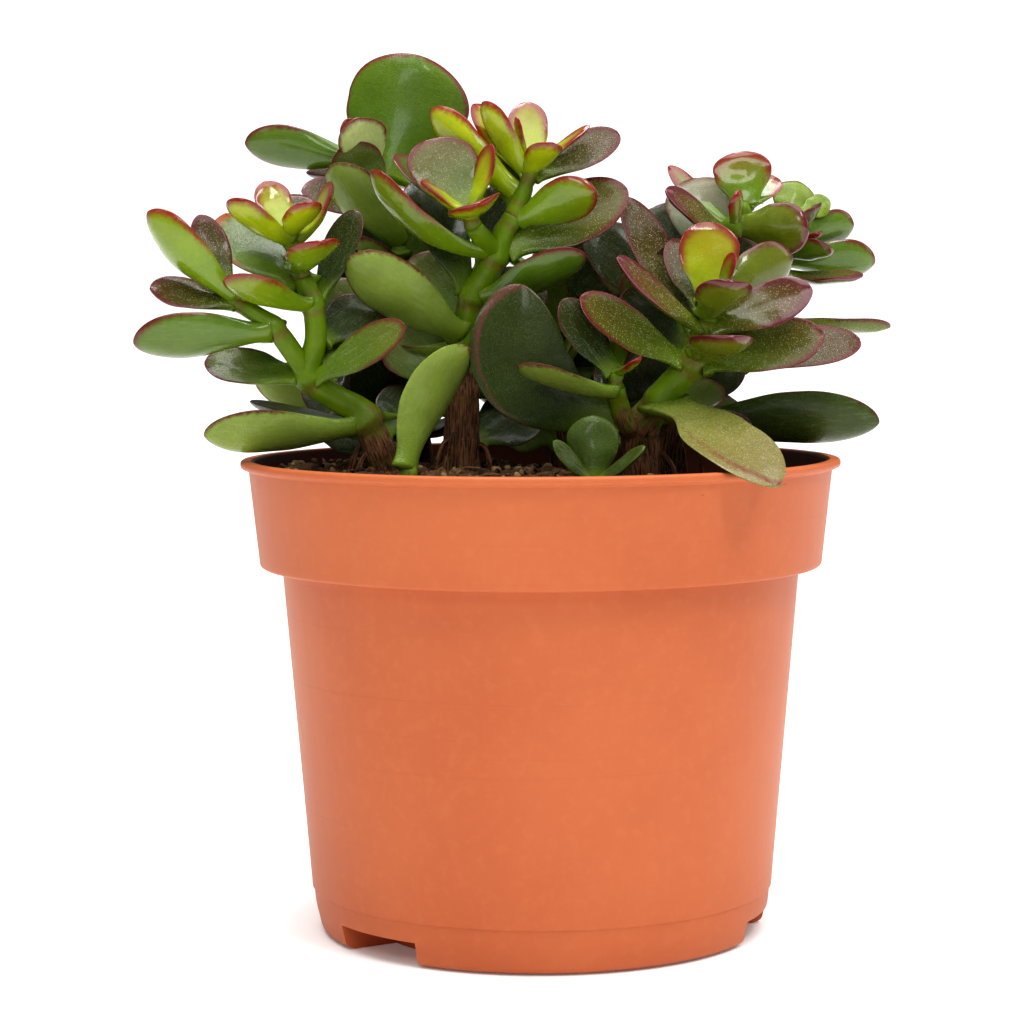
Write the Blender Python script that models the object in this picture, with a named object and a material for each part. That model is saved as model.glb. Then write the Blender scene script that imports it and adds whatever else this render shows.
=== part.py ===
"""A young jade plant (several rooted cuttings) in a round plastic grower's pot.

The tables below are in millimetres, with the origin at the middle of the pot's
underside, +Z up and the front of the plant towards -Y. Everything is scaled to
metres when the meshes are made.
"""

import math

import bpy
import bmesh
import numpy as np

MM = 0.001
GAP = 0.3

# Pot
RIM_RADIUS = 60.0
RIM_TOP = 94.9
RIM_BOTTOM = 93.3
SKIRT_TOP_RADIUS = 58.4
SKIRT_LOW_RADIUS = 56.4
SKIRT_LOW = 73.7
BODY_TOP_RADIUS = 51.9
BODY_LOW_RADIUS = 46.2
FOOT_RADIUS = 44.6
FOOT_ROUND = 1.8
WALL = 1.2
FLOOR = 1.6
POT_STEPS = 60

# Channels in the underside, which leave three feet
CHANNEL_AZIMUTHS = (-46.0, 75.0, -166.0)
CHANNEL_HALF_ANGLE = 13.5
CHANNEL_HEIGHT = 5.0
CHANNEL_INNER = 33.5
DRAIN_RADIUS = 3.0
DRAIN_CENTRE = 39.5

# Soil
SOIL_HIGH = 92.4
SOIL_LOW = 86.8
SOIL_RINGS = 7
SOIL_STEPS = 36

STEM_SIDES = 8
LEAF_SIDES = 8
CROWN_LEAF_SIDES = 6

# Each stem is a list of (x, y, z, radius) points from the soil up.
LEFT_STEM = [
    (-28.5, -6, 80.5, 3.4), (-30.5, -7, 92.5, 3.2), (-35, -9, 103.5, 3.0), (-40.5, -10, 107.5, 2.6),
    (-45.5, -11, 111.5, 2.5), (-44, -12, 119, 2.2), (-44.5, -12, 125.5, 2.2), (-46.5, -12, 131, 1.8),
    (-48.5, -12, 138, 1.6), (-49.5, -12, 141, 1.2),
]
LEFT_SIDE_STEM = [
    (-45.5, -11, 111.5, 2.0), (-48.5, -13, 116.5, 2.0), (-52, -14.5, 121.5, 1.9), (-55.5, -14.5, 124, 1.7),
    (-59.5, -14, 126.5, 1.5), (-61, -13.5, 129, 1.1),
]
CENTRE_STEM = [
    (-17, 0, 80, 4.0), (-16, 0, 92, 4.0), (-15.5, 0, 105, 3.4), (-15, -1, 118, 2.8), (-13.5, -2, 126.5, 2.7),
    (-11, -3, 131, 2.7), (-8.5, -4, 135.5, 2.5), (-7, -4, 140, 2.2), (-5, -4, 143, 2.0), (-3.5, -4, 147, 1.7),
    (-2, -4, 151, 1.5), (-1.5, -4, 154, 1.1),
]
CENTRE_SIDE_STEM = [
    (-8.5, -4, 135.5, 1.8), (-11.5, -8, 139, 1.9), (-13, -9.5, 141, 1.8), (-14, -11, 144.5, 1.2),
]
RIGHT_STEM = [
    (20.5, -8, 80.5, 4.2), (20, -9, 92.5, 4.0), (19.5, -11, 100.5, 3.6), (22.5, -13, 105.5, 3.2),
    (25.5, -14, 109.5, 3.0), (29.5, -15, 114, 2.7), (31, -15.5, 118.5, 2.0), (32.5, -16, 122, 1.9),
    (33.5, -16, 127, 1.2),
]
FRONT_STEM = [
    (19.5, -11, 100.5, 2.2), (16.5, -15, 102.5, 2.2), (15, -18, 107, 1.8), (14.5, -19, 109.5, 1.6),
    (14.5, -19, 113.5, 1.1),
]
BACK_LEFT_STEM = [
    (-24.5, 18, 78.5, 3.6), (-25.5, 18, 94, 3.4), (-26.5, 18, 109.5, 3.0), (-28, 18, 124, 2.7),
    (-27.5, 18, 133, 2.5), (-32, 19, 146.5, 2.2), (-34.5, 20, 152.5, 1.9), (-35.5, 21, 156, 1.2),
]
UPPER_RIGHT_STEM = [
    (24.5, 12, 79, 3.8), (26.5, 11, 94.5, 3.4), (28.5, 9, 109.5, 3.0), (31.5, 6, 123, 2.6), (34, 4.5, 130.5, 2.4),
    (38, 3, 139, 2.1), (40.5, 3, 143.5, 1.8), (42, 3, 146, 1.2),
]
FAR_RIGHT_STEM = [
    (28.5, 11, 104.5, 2.6), (36.5, 18, 111.5, 2.6), (43, 22, 119.5, 2.5), (47.5, 24, 127, 2.2),
    (51.5, 25, 136.5, 2.0), (53.5, 26, 141.5, 1.6), (54.5, 26, 144.5, 1.2),
]
BACK_STEM = [
    (5, 32, 79, 3.8), (6, 33, 95, 3.4), (3.5, 34, 108, 3.0), (3.5, 35, 118, 2.5), (2, 35, 127, 2.1),
    (1, 35, 134, 1.6), (1, 35, 137, 1.2),
]

# Each stem body: its stems, each with the number of the point where its crown starts
STEMS = {
    "left_stem": [(LEFT_STEM, 7), (LEFT_SIDE_STEM, 5)],
    "centre_stem": [(CENTRE_STEM, 8), (CENTRE_SIDE_STEM, 2)],
    "right_stem": [(RIGHT_STEM, 7), (FRONT_STEM, 3)],
    "back_left_stem": [(BACK_LEFT_STEM, 2)],
    "back_right_stem": [(UPPER_RIGHT_STEM, 4), (FAR_RIGHT_STEM, 2)],
    "back_stem": [(BACK_STEM, 1)],
}

# Single leaves: name: (foot, tip, width, direction the upper side looks, bend, and for some sweep and neck)
LEAVES = {
    "left_leaf_1": ((-52, -15, 120.5), (-79, -18, 118.7), 11, (0, 1, 0.75), 0.0),
    "left_leaf_2": ((-52, -13, 122), (-58.5, 8, 121), 10, (0, 0, 1), 0.1),
    "left_leaf_3": ((-59.5, -14.5, 127.5), (-76, -16, 144), 10.5, (0.5, 0.9, 0.5), 0.06),
    "left_leaf_4": ((-59.5, -13.5, 126), (-76, -15, 129.3), 9, (0, -0.8, 1), 0.03),
    "left_leaf_5": ((-60.5, -13, 129), (-67, -8, 143.5), 7, (0.3, -1, 0.3), 0.05),
    "left_leaf_6": ((-35, -10, 101.8), (-66, -14, 100.5), 11.5, (0, 1, 0.9), 0.04),
    "left_leaf_7": ((-34.5, -8, 104), (-24.5, 14, 105.5), 11, (0, 0, 1), 0.08),
    "left_leaf_8": ((-45.5, -11, 111.5), (-66.5, -4, 115), 11, (0, -0.75, 1), 0.05),
    "left_leaf_9": ((-44.5, -12, 111), (-26, -22, 121.8), 8.2, (0, -1, 0.45), 0.0),
    "left_leaf_10": ((-44.5, -12.5, 125.5), (-60.5, -23, 131), 10.5, (0, 0.45, 1), 0.06),
    "left_leaf_11": ((-44, -11.5, 126), (-36.5, -4, 144.5), 9, (-0.7, -1, 0.3), 0.05),
    "left_leaf_12": ((-46.5, -11, 129), (-62.5, 3, 144), 15, (0.5, -1, 0.35), 0.02),
    "left_leaf_13": ((-35, -8, 102), (-58, -1, 106.5), 9, (0, -0.1, 1), 0.04),
    "left_leaf_14": ((-32, -4, 97), (-47.5, 9, 110), 9, (0.2, -1, 0.3), 0.02),
    "back_left_leaf_1": ((-31.5, 20, 151), (-24.5, 23, 177), 25.5, (0, 1, -0.15), -0.04),
    "back_left_leaf_2": ((-37.5, 21.5, 155.5), (-61, 26, 159.5), 9.5, (0, 1, 0.45), 0.0),
    "back_left_leaf_3": ((-26.5, 17, 100), (-58.5, 14, 111), 11.5, (0, 1, 0.3), 0.0),
    "centre_leaf_1": ((-9.5, -5, 135.5), (-33, -8, 152), 10, (0.3, 0.55, 1), 0.16),
    "centre_leaf_2": ((-14, -2, 127), (-25.5, 4, 150), 11, (0.3, -1, 0.5), -0.1),
    "centre_leaf_3": ((-12.5, -3, 126.5), (9, -10, 135.5), 10, (0, 0.75, 0.8), 0.04),
    "centre_leaf_4": ((-8, -4, 135.5), (17.5, -2, 148.5), 13.5, (-0.1, -1, 0.55), 0.03),
    "centre_leaf_5": ((-5, -4, 142), (11, -10, 148), 10, (0, 1, 0.45), 0.02),
    "centre_leaf_6": ((-15, -2.5, 119), (-37.5, -12, 135), 12, (0.3, 1, 0.45), 0.04),
    "centre_leaf_7": ((-15.5, -1, 117.5), (-28.5, 12, 117), 11, (0, 0, 1), 0.05),
    "centre_leaf_8": ((-15.5, 0, 108), (2, 16, 111.5), 12, (0, 0, 1), 0.06),
    "right_leaf_1": ((17, -15, 101.5), (-2.5, -16, 129.3), 15.5, (0, -1, 0.12), -0.03, 0.3, 0.42),
    "right_leaf_2": ((14.5, -19.5, 108.7), (-4.5, -25, 114), 9, (0, 0.35, 1), 0.05),
    "right_leaf_3": ((24, -15, 105.5), (44.5, -52, 93), 12.5, (0.15, -0.75, 1), -0.05, 0.0, 0.6),
    "right_leaf_4": ((28.7, 9, 106), (41.5, 3, 112.5), 8.5, (-0.3, -1, 0.5), 0.0),
    "right_leaf_5": ((29, -15.5, 113.5), (7.5, -21, 127), 10.5, (0.3, -1, 0.75), 0.04),
    "right_leaf_6": ((30, -15.5, 113.5), (55, -18, 119.5), 12, (-0.1, -1, 0.75), 0.02),
    "right_leaf_7": ((30.5, -13.5, 116), (64.5, 2, 118), 11.5, (-0.1, -1, 0.8), 0.04),
    "right_leaf_8": ((31, -17, 115.8), (36.5, -32, 119.5), 13, (0, 0.3, 1), 0.05),
    "right_leaf_9": ((31, -14.5, 119), (17.5, 3, 147), 10.5, (0.6, -1, 0.35), 0.03),
    "right_leaf_10": ((31.8, -16.5, 120.3), (14.5, -24, 134.5), 8.5, (0.3, -0.75, 1), 0.04),
    "right_leaf_11": ((31.8, -16.5, 120.3), (52.5, -19, 128.5), 10.5, (-0.1, -1, 0.75), 0.03),
    "back_right_leaf_1": ((29.5, 9, 101.5), (69.5, 10, 101.2), 13, (0, 1, 0.65), -0.01),
    "back_right_leaf_2": ((29, 8, 103.5), (41, -6, 100), 9, (0, -0.2, 1), -0.05),
    "back_right_leaf_3": ((32, 6, 125), (9.5, 8, 140), 14, (0.2, -1, 0.5), 0.04),
}

# Crowns: name: (stem, point where the crown starts, leaves); each is one body of young growth
CROWNS = {
    "left_crown": (LEFT_STEM, 7, [
        ((-47, -12, 133), (-42, -24, 138), 11, (-0.25, 0.15, 1), 0.05),
        ((-48.5, -12.5, 138), (-60, -20, 146), 7.5, (0.1, 0.7, 1), 0.06),
        ((-48, -11.5, 138), (-41, -8, 150), 7.5, (-1, -0.5, 0.4), 0.1),
        ((-49, -13, 140), (-44, -21, 145.5), 8, (-0.25, 0.2, 1), 0.06),
        ((-49.5, -11.5, 140.5), (-54, -8, 150), 7.5, (0.4, -1, 0.3), 0.05),
        ((-49, -10.5, 140.5), (-47.5, -4, 147.5), 7.5, (0, -1, 0.5), 0.03),
        ((-49, -11.5, 139.5), (-58, -5, 146.5), 7, (0.5, -0.2, 1), 0.05),
    ]),
    "centre_crown": (CENTRE_STEM, 8, [
        ((-4.5, -3.5, 144.5), (-9, 3, 155.5), 7.5, (0.3, 1, 0.2), 0.03),
        ((-2, -4, 151), (-11, -6, 165.5), 8.5, (0.8, 0.6, 0.3), 0.06),
        ((-2, -3.5, 151), (-13, 1, 165.5), 8, (0.6, -0.8, 0.4), 0.04),
        ((-4, -3.5, 147), (-21.5, 2, 164.5), 9, (0.5, 0.9, 0.4), 0.05),
        ((-1.5, -4, 151), (16, 1, 159.5), 9, (-0.1, -1, 0.75), 0.04),
        ((-1.5, -3.5, 153), (-2.5, 4, 166), 8, (0.1, -1, 0.25), 0.03),
        ((-2, -4.5, 152), (2.5, -12, 157), 7.5, (-0.1, 0.5, 1), 0.04),
        ((-2, -4.5, 153), (-4.5, -6, 162.5), 3.2, (0.8, 0.3, 0.2), 0.04),
        ((-1.5, -4, 153), (10, -2, 161), 3.6, (-0.3, -0.5, 1), 0.03),
    ]),
    "centre_side_crown": (CENTRE_SIDE_STEM, 2, [
        ((-14, -10.5, 144), (-22.3, -5, 158), 14.5, (0.3, -1, 0.35), 0.02),
        ((-14, -11, 144), (-9.5, -10, 157), 6.5, (-0.9, -0.6, 0.2), 0.08),
        ((-13.5, -10.5, 143.5), (-12, -22, 145), 11, (-0.42, 0.1, 1), 0.03),
        ((-14, -11, 143.5), (-23, -17, 149.5), 5.5, (0.3, -0.5, 1), 0.03),
        ((-14, -10, 143.5), (-28.5, 0, 155.5), 8, (0.4, -0.6, 0.7), 0.03),
    ]),
    "right_crown": (RIGHT_STEM, 7, [
        ((32.5, -16.5, 123.5), (36.5, -28, 130), 11, (-0.1, 0.55, 1), 0.03),
        ((33, -15.5, 126), (32.5, -13, 141.5), 12, (0.15, -1, 0.1), 0.0),
        ((33.5, -16, 126), (37.5, -17, 135.5), 4.5, (-0.8, -0.6, 0.3), 0.06),
        ((32.5, -15.5, 123.5), (27, -5, 138.5), 9.5, (0.3, -1, 0.45), 0.03),
        ((33.5, -15.5, 126.5), (50, -6, 134.5), 12, (-0.3, 1, 0.35), 0.03),
    ]),
    "front_crown": (FRONT_STEM, 3, [
        ((14.5, -19, 112), (4, -20.5, 126.5), 8.5, (0.4, -1, 0.3), 0.03),
        ((14.5, -19.5, 112.5), (19, -25, 115.5), 4, (-0.3, -0.2, 1), 0.05),
        ((14.5, -19, 112.5), (15, -15, 120), 5, (0, -1, 0.2), 0.03),
    ]),
    "back_left_crown": (BACK_LEFT_STEM, 2, [
        ((-27, 18, 112), (-13, 15, 121), 11, (0, -1, 0.6), 0.04),
        ((-27, 18, 113), (-41, 35, 118), 13, (0, -0.3, 1), 0.06),
        ((-28, 18, 125), (-38.5, 10, 133.5), 9.5, (0, -1, 0.3), 0.04),
        ((-28, 18, 125), (-19, 37, 132), 12, (0, -0.3, 1), 0.05),
        ((-28, 18, 126), (-14, 9, 138), 11, (0, -1, 0.5), 0.04),
        ((-34.5, 19.5, 152.5), (-37, 12, 163.5), 10.5, (0.1, -1, 0.25), 0.02),
        ((-35.5, 20.5, 155), (-39.5, 17, 163.5), 6, (0.3, -1, 0.3), 0.02),
        ((-28, 17.5, 137.5), (-41.5, 6, 154), 11.5, (0.4, 1, 0.4), 0.06),
        ((-31.5, 19, 145.5), (-48.5, 15, 149), 9, (0, -0.9, 0.8), 0.04),
        ((-34, 20, 151.5), (-48, 28, 153.5), 8, (0, -0.3, 1), 0.04),
        ((-28, 17, 136), (-37, 4, 139.5), 9, (0, -0.2, 1), 0.12),
        ((-27.5, 18.5, 136), (-18.5, 32, 149), 12, (0, -0.5, 1), 0.05),
    ]),
    "upper_right_crown": (UPPER_RIGHT_STEM, 4, [
        ((39, 3, 141), (53.5, -3, 140), 10.5, (-0.05, 1, 0.25), 0.0),
        ((39, 2.5, 140), (39.5, -2, 148), 5, (-0.8, 0.6, 0.2), 0.03),
        ((38, 2.5, 139), (25, -4, 148), 8, (0.3, -0.8, 0.9), 0.03),
        ((39, 3.5, 140), (26.5, 12, 153.5), 5, (0.4, -0.9, 0.5), 0.03),
        ((35, 4.5, 133), (32.5, 10, 151), 16, (0.15, -1, 0.2), 0.0),
        ((41.5, 3.5, 145), (40.5, 5, 156), 11.8, (-0.1, -1, 0.15), 0.0),
        ((41.5, 3.5, 145), (48, 8, 151), 7, (-0.5, -0.8, 0.2), 0.03),
        ((34.5, 5, 132), (22, 24, 144), 11, (0.3, -1, 0.4), 0.04),
    ]),
    "far_right_crown": (FAR_RIGHT_STEM, 2, [
        ((53, 25.5, 139.5), (54.5, 30, 151), 10, (-0.2, 1, 0.2), 0.0),
        ((53, 25.5, 140), (56.5, 16, 145), 9, (-0.2, -0.6, 1), 0.03),
        ((54, 26, 143.5), (61, 27, 147), 6, (-0.2, -0.8, 0.5), 0.1),
        ((52.5, 25.5, 139), (66.5, 30, 142), 8.5, (-0.1, 1, 0.5), 0.03),
        ((52, 25, 137.5), (58, 17, 140), 5, (-0.2, -0.2, 1), 0.03),
        ((51.5, 25, 136.5), (64, 34, 140), 8, (-0.1, 1, 0.5), 0.03),
        ((51, 25, 136), (60, 16, 137), 8, (-0.2, 0.8, 0.7), 0.06),
        ((51, 25, 135), (71, 30, 134), 9.5, (-0.1, 1, 0.5), 0.03),
        ((49.5, 24.5, 131.5), (66.5, 15, 131), 8.5, (0, -0.25, 1), 0.04),
        ((43.5, 22, 121.5), (73.8, 26, 120.5), 9, (0, 0.3, 1), 0.02),
    ]),
    "back_crown": (BACK_STEM, 1, [
        ((4.5, 33.5, 101), (-13, 46, 107), 12, (0.2, -0.2, 1), 0.06),
        ((4.5, 33.5, 101), (20, 47, 106), 12, (-0.2, -0.2, 1), 0.06),
        ((4, 34, 110), (26, 27, 120), 15, (0, -1, 0.45), 0.05),
        ((4, 34, 110), (-13, 25, 118), 15, (0, -1, 0.55), 0.05),
        ((4, 34, 112), (10, 18, 123), 13, (0, -1, 0.8), 0.03),
        ((4, 34, 112), (-4, 54, 119), 13, (0, -0.3, 1), 0.08),
        ((3, 35, 121), (22, 45, 127), 12, (-0.1, 0.1, 1), 0.05),
        ((3, 35, 121), (-14, 45, 128), 12, (0.1, 0.1, 1), 0.05),
        ((2, 35, 127), (8, 53, 135), 11, (0, -0.3, 1), 0.08),
        ((1, 35, 132), (14, 38, 139), 9, (-0.3, 0, 1), 0.06),
        ((1, 35, 132), (-10, 40, 139), 9, (0.3, 0, 1), 0.06),
        ((1, 35, 135), (3, 43, 142), 7, (0, -0.8, 1), 0.05),
        ((1, 35, 135), (1, 28, 141), 7, (0, 0.8, 1), 0.05),
    ]),
}

# Two small plants of their own, set in the soil in front
SEEDLING_STEM = [(9, -40, 84, 1.6), (9.5, -40, 91, 1.5), (9.5, -40.5, 93.5, 1.0)]
SEEDLING_LEAVES = [
    ((9.5, -40, 92.5), (9.5, -38, 105), 9.8, (0, 1, 0.1), 0.0),
    ((9.5, -40.5, 92.5), (2, -43, 100.5), 4.2, (0.3, -0.7, 0.6), 0.05),
    ((9.5, -40.5, 92.5), (19, -44, 99.5), 5, (-0.2, -0.5, 1), 0.05),
]
ROOTED_STEM = [(-26, -25, 84, 1.9), (-26, -25, 91, 1.9), (-25, -24.5, 95.5, 1.7)]
ROOTED_LEAF = ((-26, -24.7, 94), (-14.5, -22, 118), 10.5, (-0.8, 0.75, 0.3), -0.1)

# Outline of a leaf along its length: (share of length, share of half width, share of half thickness)
OUTLINE = (
    (0.00, 0.31, 1.15),
    (0.13, 0.36, 1.15),
    (0.28, 0.60, 1.10),
    (0.45, 0.90, 1.02),
    (0.63, 1.00, 0.95),
    (0.80, 0.87, 0.85),
    (0.92, 0.57, 0.70),
    (0.98, 0.28, 0.45),
)
SMALL_OUTLINE = (
    (0.00, 0.40, 1.10),
    (0.20, 0.50, 1.10),
    (0.45, 0.90, 1.00),
    (0.65, 1.00, 0.90),
    (0.84, 0.80, 0.80),
    (0.96, 0.38, 0.50),
)

COLOURS = {
    "pot": (0.72, 0.16, 0.07, 1.0),
    "soil": (0.06, 0.035, 0.02, 1.0),
    "stem": (0.24, 0.20, 0.05, 1.0),
    "leaf": (0.07, 0.16, 0.03, 1.0),
    "crown": (0.16, 0.28, 0.05, 1.0),
}


def clear_scene():
    for obj in list(bpy.data.objects):
        bpy.data.objects.remove(obj)


def unit(vector):
    vector = np.asarray(vector, float)
    return vector / np.linalg.norm(vector)


def mesh_object(name, verts, faces, kind, smooth=True):
    mesh = bpy.data.meshes.new(name)
    mesh.from_pydata([tuple(v) for v in np.asarray(verts, float)], [], faces)
    mesh.validate()
    shell = bmesh.new()
    shell.from_mesh(mesh)
    bmesh.ops.triangulate(shell, faces=shell.faces)
    bmesh.ops.recalc_face_normals(shell, faces=shell.faces)
    if shell.calc_volume(signed=True) < 0:
        bmesh.ops.reverse_faces(shell, faces=shell.faces)
    for face in shell.faces:
        face.smooth = smooth
    shell.to_mesh(mesh)
    shell.free()
    obj = bpy.data.objects.new(name, mesh)
    obj.scale = (MM, MM, MM)
    bpy.context.scene.collection.objects.link(obj)
    obj.data.materials.append(material(name, kind))
    return obj


def material(name, kind):
    made = bpy.data.materials.new(name + "_" + kind)
    made.use_nodes = True
    shader = made.node_tree.nodes["Principled BSDF"]
    shader.inputs["Base Color"].default_value = COLOURS[kind]
    shader.inputs["Roughness"].default_value = 0.45 if kind != "soil" else 0.95
    made.diffuse_color = COLOURS[kind]
    return made


def helper(obj):
    obj.hide_render = True
    obj.display_type = "WIRE"
    return obj


def boolean(obj, other, operation):
    modifier = obj.modifiers.new(operation.lower() + "_" + other.name, "BOOLEAN")
    modifier.operation = operation
    modifier.solver = "EXACT"
    modifier.object = other
    modifier.show_render = modifier.show_viewport


def rings_mesh(rings, last_point=None):
    """Verts and faces of a closed skin over rings of equal count, with a flat start."""
    count = len(rings[0])
    verts = [point for ring in rings for point in ring]
    faces = [list(range(count))]
    for row in range(len(rings) - 1):
        for k in range(count):
            a = row * count + k
            b = row * count + (k + 1) % count
            faces.append([a, b, b + count, a + count])
    start = (len(rings) - 1) * count
    if last_point is None:
        faces.append(list(range(start, start + count)))
    else:
        verts.append(last_point)
        for k in range(count):
            faces.append([start + k, start + (k + 1) % count, len(verts) - 1])
    return verts, faces


def tube(points, first=0, last=None, grow=0.0):
    """Verts and faces of the length of a stem between two of its points.

    Where the length ends inside the stem, it ends half a gap short, square to the stem."""
    last = len(points) - 1 if last is None else last
    centres = np.array([p[:3] for p in points], float)
    rings = []
    side = np.array([1.0, 0.0, 0.0])
    for k in range(first, last + 1):
        before = centres[max(k - 1, 0)]
        after = centres[min(k + 1, len(centres) - 1)]
        along = unit(after - before)
        side = unit(side - along * np.dot(side, along))
        other = np.cross(along, side)
        centre = centres[k]
        if k == first and first > 0:
            centre = centre + along * GAP / 2
        if k == last and last < len(points) - 1:
            centre = centre - along * GAP / 2
        if k == 0 and grow > 0.0:
            centre = centre - along * grow
        ring = []
        for n in range(STEM_SIDES):
            turn = 2 * math.pi * n / STEM_SIDES
            ring.append(centre + (points[k][3] + grow) * (math.cos(turn) * side + math.sin(turn) * other))
        rings.append(ring)
    return rings_mesh(rings)


def leaf(foot, tip, width, looks, bend, sweep=0.0, neck=0.31, outline=OUTLINE, sides=LEAF_SIDES):
    """Verts and faces of one fleshy leaf from its foot to its tip.

    bend curls it towards its upper side, sweep curves it sideways, neck is its foot's share of the width."""
    foot = np.array(foot, float)
    tip = np.array(tip, float)
    length = np.linalg.norm(tip - foot)
    along = (tip - foot) / length
    up = np.array(looks, float)
    up = unit(up - along * np.dot(up, along))
    side = np.cross(up, along)
    half_thickness = 0.45 + 0.055 * width
    rings = []
    for share, wide, thick in outline:
        bow = 4 * share * (1 - share)
        slope = 4 * (1 - 2 * share)
        centre = foot + length * (along * share - up * bend * bow + side * sweep * bow)
        heading = unit(along - up * bend * slope + side * sweep * slope)
        across = unit(np.cross(up, heading))
        raised = np.cross(heading, across)
        wide = max(wide, neck * min(1.0, 3.5 * (1 - share)))
        ring = []
        for n in range(sides):
            turn = 2 * math.pi * n / sides
            out = math.cos(turn) * wide * width / 2
            high = math.sin(turn) * thick * half_thickness
            high = high + 0.10 * width * wide * (2 * out / width) ** 2
            ring.append(centre + across * out + raised * high)
        rings.append(ring)
    return rings_mesh(rings, tip)


def distance_to_stem(point, points):
    """Distance from a point to the surface of a stem, below zero inside it."""
    best = 1e9
    for a, b in zip(points[:-1], points[1:]):
        start = np.array(a[:3], float)
        way = np.array(b[:3], float) - start
        share = min(max(np.dot(point - start, way) / np.dot(way, way), 0.0), 1.0)
        radius = a[3] + (b[3] - a[3]) * share
        best = min(best, np.linalg.norm(point - start - way * share) - radius)
    return best


def clear_of_stems(spec, stems):
    """The leaf with its foot moved along it until it stands a gap off every stem."""
    foot = np.array(spec[0], float)
    along = unit(np.array(spec[1], float) - foot)
    for _ in range(80):
        verts, _faces = leaf(foot, *spec[1:])
        low = np.array(verts[: 3 * LEAF_SIDES])
        middles = (low[:LEAF_SIDES] + np.roll(low[:LEAF_SIDES], -1, axis=0)) / 2
        probes = np.concatenate([low, middles, low[:LEAF_SIDES].mean(axis=0)[None]])
        nearest = min(distance_to_stem(p, points) for p in probes for points in stems)
        if nearest >= GAP:
            break
        foot = foot + along * 0.1
    return (tuple(foot), *spec[1:])


def pot():
    """A revolved pot with a stepped skirt, three underside channels and drain holes."""
    skirt_inner_top = SKIRT_TOP_RADIUS - WALL
    profile = [
        (0.0, 0.0), (FOOT_RADIUS - FOOT_ROUND, 0.0), (FOOT_RADIUS, 0.7), (BODY_LOW_RADIUS, 6.1),
        (BODY_TOP_RADIUS, SKIRT_LOW), (SKIRT_LOW_RADIUS - 0.7, SKIRT_LOW), (SKIRT_LOW_RADIUS - 0.1, SKIRT_LOW + 0.5),
        (SKIRT_LOW_RADIUS + 0.05, SKIRT_LOW + 1.6), (SKIRT_TOP_RADIUS, RIM_BOTTOM), (RIM_RADIUS - 0.3, RIM_BOTTOM),
        (RIM_RADIUS, RIM_BOTTOM + 0.4), (RIM_RADIUS, RIM_TOP - 0.5), (RIM_RADIUS - 0.5, RIM_TOP),
        (skirt_inner_top + 0.4, RIM_TOP), (skirt_inner_top, RIM_TOP - 0.4), (skirt_inner_top, RIM_BOTTOM),
        (SKIRT_LOW_RADIUS - WALL, SKIRT_LOW + 2.4), (SKIRT_LOW_RADIUS - WALL - 1.0, SKIRT_LOW + WALL),
        (BODY_TOP_RADIUS - 0.3, SKIRT_LOW + 0.9), (BODY_TOP_RADIUS - WALL, SKIRT_LOW - 0.6),
        (BODY_LOW_RADIUS - WALL, 7.0), (FOOT_RADIUS - 0.6, FLOOR), (0.0, FLOOR),
    ]
    body = revolved("pot", profile, "pot", POT_STEPS)
    for number, azimuth in enumerate(CHANNEL_AZIMUTHS):
        tool = "bump_tool_%d" % number
        bump = helper(channel_block(tool, azimuth, WALL, (0.5, FOOT_RADIUS - 0.6), (CHANNEL_HEIGHT + WALL, BODY_LOW_RADIUS - 0.6)))
        boolean(body, bump, "UNION")
    for number, azimuth in enumerate(CHANNEL_AZIMUTHS):
        tool = "channel_tool_%d" % number
        cut = helper(channel_block(tool, azimuth, 0.0, (-2.0, RIM_RADIUS), (CHANNEL_HEIGHT, RIM_RADIUS)))
        boolean(body, cut, "DIFFERENCE")
        hole = helper(drain("drain_tool_%d" % number, azimuth, DRAIN_RADIUS, -3.0, CHANNEL_HEIGHT + 6.0))
        boolean(body, hole, "DIFFERENCE")
    return body


def revolved(name, profile, kind, steps):
    """A solid turned about the upright axis from (radius, height) points that start and end on it."""
    verts = []
    index = []
    for radius, height in profile:
        if radius == 0.0:
            index.append([len(verts)] * steps)
            verts.append((0.0, 0.0, height))
            continue
        row = []
        for n in range(steps):
            turn = 2 * math.pi * n / steps
            row.append(len(verts))
            verts.append((radius * math.cos(turn), radius * math.sin(turn), height))
        index.append(row)
    faces = []
    for low, high in zip(index[:-1], index[1:]):
        for n in range(steps):
            corners = [low[n], low[(n + 1) % steps], high[(n + 1) % steps], high[n]]
            kept = list(dict.fromkeys(corners))
            if len(kept) > 2:
                faces.append(kept)
    return mesh_object(name, verts, faces, kind)


def around(azimuth, radius):
    """Point at a radius, with the azimuth in degrees from the front towards +X."""
    turn = math.radians(azimuth)
    return radius * math.sin(turn), -radius * math.cos(turn)


def channel_block(name, azimuth, grow, bottom, top):
    """A wedge-shaped block at the pot's edge, between two (height, outer radius) levels, widened by grow."""
    inner = CHANNEL_INNER - grow
    extra = math.degrees(grow / 42.0)
    half_angle = CHANNEL_HALF_ANGLE + extra
    verts = []
    for height, outer in (bottom, top):
        for share in (-1.0, -0.5, 0.0, 0.5, 1.0):
            x, y = around(azimuth + share * half_angle, outer)
            verts.append((x, y, height))
        for share in (1.0, 0.0, -1.0):
            x, y = around(azimuth + share * half_angle, inner)
            verts.append((x, y, height))
    count = len(verts) // 2
    faces = [list(range(count)), list(range(count, 2 * count))]
    for k in range(count):
        faces.append([k, (k + 1) % count, count + (k + 1) % count, count + k])
    return mesh_object(name, verts, faces, "pot", smooth=False)


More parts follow.
